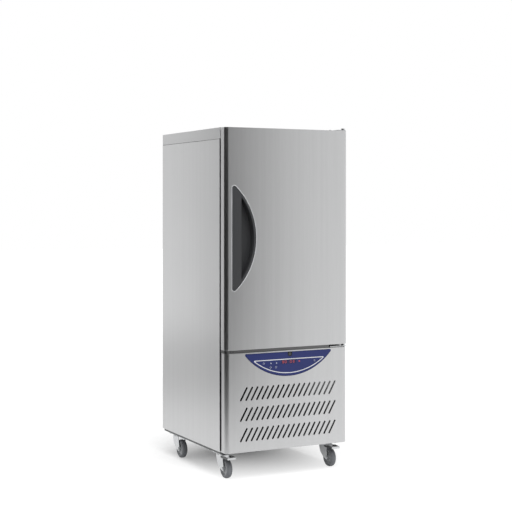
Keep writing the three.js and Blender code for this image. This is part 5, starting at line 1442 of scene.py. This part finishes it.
class CHILLER_OT_stage(bpy.types.Operator):
    """Sets up the camera, floor, lamp, surroundings and the dark wall that the door mirrors"""

    bl_idname = "chiller.stage"
    bl_label = "Stage"

    def execute(self, context):
        studio = context.scene.chiller_studio
        self.camera(context, studio)
        self.surroundings(context, studio)
        self.floor(studio)
        self.dark_wall(studio)
        self.lamp("lamp_above", place=(-0.5, -1.3, 4.0), target=(0, 0, 0.5), width=3.6, power=studio.key)
        context.scene.view_settings.view_transform = "Standard"
        return {"FINISHED"}

    def camera(self, context, studio):
        data = bpy.data.cameras.new("camera")
        data.lens = studio.camera_lens
        data.sensor_width = 36
        data.shift_y = -studio.camera_drop
        data.clip_end = 100
        made = bpy.data.objects.new("camera", data)
        made.location = studio.camera_place
        made.rotation_euler = (math.pi / 2, 0, -studio.camera_turn)
        context.scene.collection.objects.link(made)
        context.scene.camera = made

    def lamp(self, name, place, target, width, power):
        data = bpy.data.lights.new(name, "AREA")
        data.shape = "DISK"
        data.size = width
        data.energy = power
        made = bpy.data.objects.new(name, data)
        made.location = place
        made.rotation_euler = (Vector(target) - Vector(place)).to_track_quat("-Z", "Y").to_euler()
        bpy.context.scene.collection.objects.link(made)
        made.visible_glossy = False

    def seen_directly(self, graph):
        """1 for rays that the eye, a gloss or a glass sends, 0 for the light that falls on a surface."""
        kinds = ("Camera", "Glossy", "Transmission")
        camera, gloss, glass = (graph.node("ShaderNodeLightPath", output="Is %s Ray" % kind) for kind in kinds)
        return camera.maths("MAXIMUM", camera, gloss.maths("MAXIMUM", gloss, glass))

    def surroundings(self, context, studio):
        world = bpy.data.worlds.new("surroundings")
        world.use_nodes = True
        graph = Graph(world.node_tree)
        fill = graph.white("ShaderNodeBackground", studio.fill)
        white = graph.white("ShaderNodeBackground", 1.0)
        mixed = graph.node("ShaderNodeMixShader", inputs={0: self.seen_directly(graph), 1: fill, 2: white})
        graph.node("ShaderNodeOutputWorld", inputs={"Surface": mixed})
        context.scene.world = world

    def floor(self, studio):
        """A pale floor that takes the shadow, with painted light that fades the shadow out away from a point
        under the cabinet's back, and that turns white further off.
        """
        bm = bmesh.new()
        bmesh.ops.create_grid(bm, x_segments=1, y_segments=1, size=30)
        made = loose_object("floor", bm)
        finish = Finish("pale_floor")
        plain = finish.node("ShaderNodeBsdfDiffuse", inputs={"Color": (*studio.floor_tone, 1)})
        glow = finish.white("ShaderNodeEmission", studio.floor_glow)
        near = finish.node("ShaderNodeAddShader", inputs={0: plain, 1: glow})
        white = finish.white("ShaderNodeEmission", 1.15)
        shadow_middle = (0.05, 0.35, 0)
        inputs = {0: finish.place(), 1: shadow_middle}
        from_back = finish.node("ShaderNodeVectorMath", {"operation": "SUBTRACT"}, inputs)
        away = finish.node("ShaderNodeVectorMath", {"operation": "LENGTH"}, {0: from_back}, "Value")
        # painted light: the near term lifts the cast shadow away from shadow_middle; the far term makes the
        # floor evenly white
        whiteness = away.maths("MAXIMUM", away.above(0.45, 0.6) * 0.7, away.above(2.2, 1.8))
        lit = finish.node("ShaderNodeMixShader", inputs={0: whiteness, 1: near, 2: white})
        shader = finish.node("ShaderNodeMixShader", inputs={0: self.seen_directly(finish), 1: plain, 2: lit})
        made.data.materials.append(finish.shown(shader))

    def dark_wall(self, studio):
        start, end = studio.wall_start, studio.wall_end
        self.card("dark_wall", start, end, studio.wall_height, glow=0.025, foot=studio.wall_foot)
        self.card("low_card", studio.card_end, start, studio.card_height, studio.card_glow)

    def card(self, name, start, end, height, glow, foot=0.0):
        """A bent card round the cabinet that only glossy surfaces see."""
        radius = bpy.context.scene.chiller_studio.wall_radius
        bm = bmesh.new()
        first = bm.verts.new(Matrix.Rotation(start, 3, "Z") @ (FORWARD * radius))
        arc = {"angle": end - start, "steps": 48, "use_duplicate": False}
        bmesh.ops.spin(bm, geom=[first], cent=(0, 0, 0), axis=UP, **arc)
        low = list(bm.verts)
        raised = bmesh.ops.extrude_edge_only(bm, edges=list(bm.edges))
        bmesh.ops.translate(bm, verts=verts_of(raised["geom"]), vec=UP * height)
        for vert in low:
            heading = math.atan2(vert.co.x, -vert.co.y)
            along = min(1.0, max(0.0, (heading - start) / (end - start)))
            share = math.sin(math.pi * along)
            vert.co *= 1 - share * foot / radius
        made = loose_object(name, bm)
        finish = Finish(name)
        made.data.materials.append(finish.shown(finish.white("ShaderNodeEmission", glow)))
        for ray in ("camera", "diffuse", "shadow", "transmission"):
            setattr(made, "visible_" + ray, False)


# ---------------------------------------------------------------- panel and run


OPERATORS = (
    CHILLER_OT_stage,
    CHILLER_OT_casing,
    CHILLER_OT_chamber,
    CHILLER_OT_door,
    CHILLER_OT_lower_panel,
    CHILLER_OT_controls,
    CHILLER_OT_cooling,
    CHILLER_OT_castors,
)


class CHILLER_PT_sidebar(bpy.types.Panel):
    """Lists the chiller's groups of pieces, sizes and colours"""

    bl_idname = "CHILLER_PT_sidebar"
    bl_label = "Blast Chiller"
    bl_space_type = "VIEW_3D"
    bl_region_type = "UI"
    bl_category = "Chiller"

    def draw(self, context):
        for operator in OPERATORS:
            self.layout.operator(operator.bl_idname)
        for group in (context.scene.chiller_sizes, context.scene.chiller_colours, context.scene.chiller_studio):
            column = self.layout.column(align=True)
            for name in group.__annotations__:
                column.prop(group, name)


CLASSES = (ChillerSizes, ChillerColours, ChillerStudio, *OPERATORS, CHILLER_PT_sidebar)


def register():
    for cls in CLASSES:
        bpy.utils.register_class(cls)
    bpy.types.Scene.chiller_sizes = PointerProperty(type=ChillerSizes)
    bpy.types.Scene.chiller_colours = PointerProperty(type=ChillerColours)
    bpy.types.Scene.chiller_studio = PointerProperty(type=ChillerStudio)


def unregister():
    del bpy.types.Scene.chiller_studio
    del bpy.types.Scene.chiller_colours
    del bpy.types.Scene.chiller_sizes
    for cls in reversed(CLASSES):
        bpy.utils.unregister_class(cls)


def plain(corners):
    return [[float(value) for value in corner] for corner in corners]


def main():
    register()
    bpy.ops.chiller.stage()
    bpy.ops.chiller.casing()
    bpy.ops.chiller.chamber()
    bpy.ops.chiller.door()
    bpy.ops.chiller.lower_panel()
    bpy.ops.chiller.controls()
    bpy.ops.chiller.cooling()
    bpy.ops.chiller.castors()


if __name__ == "__main__":
    main()
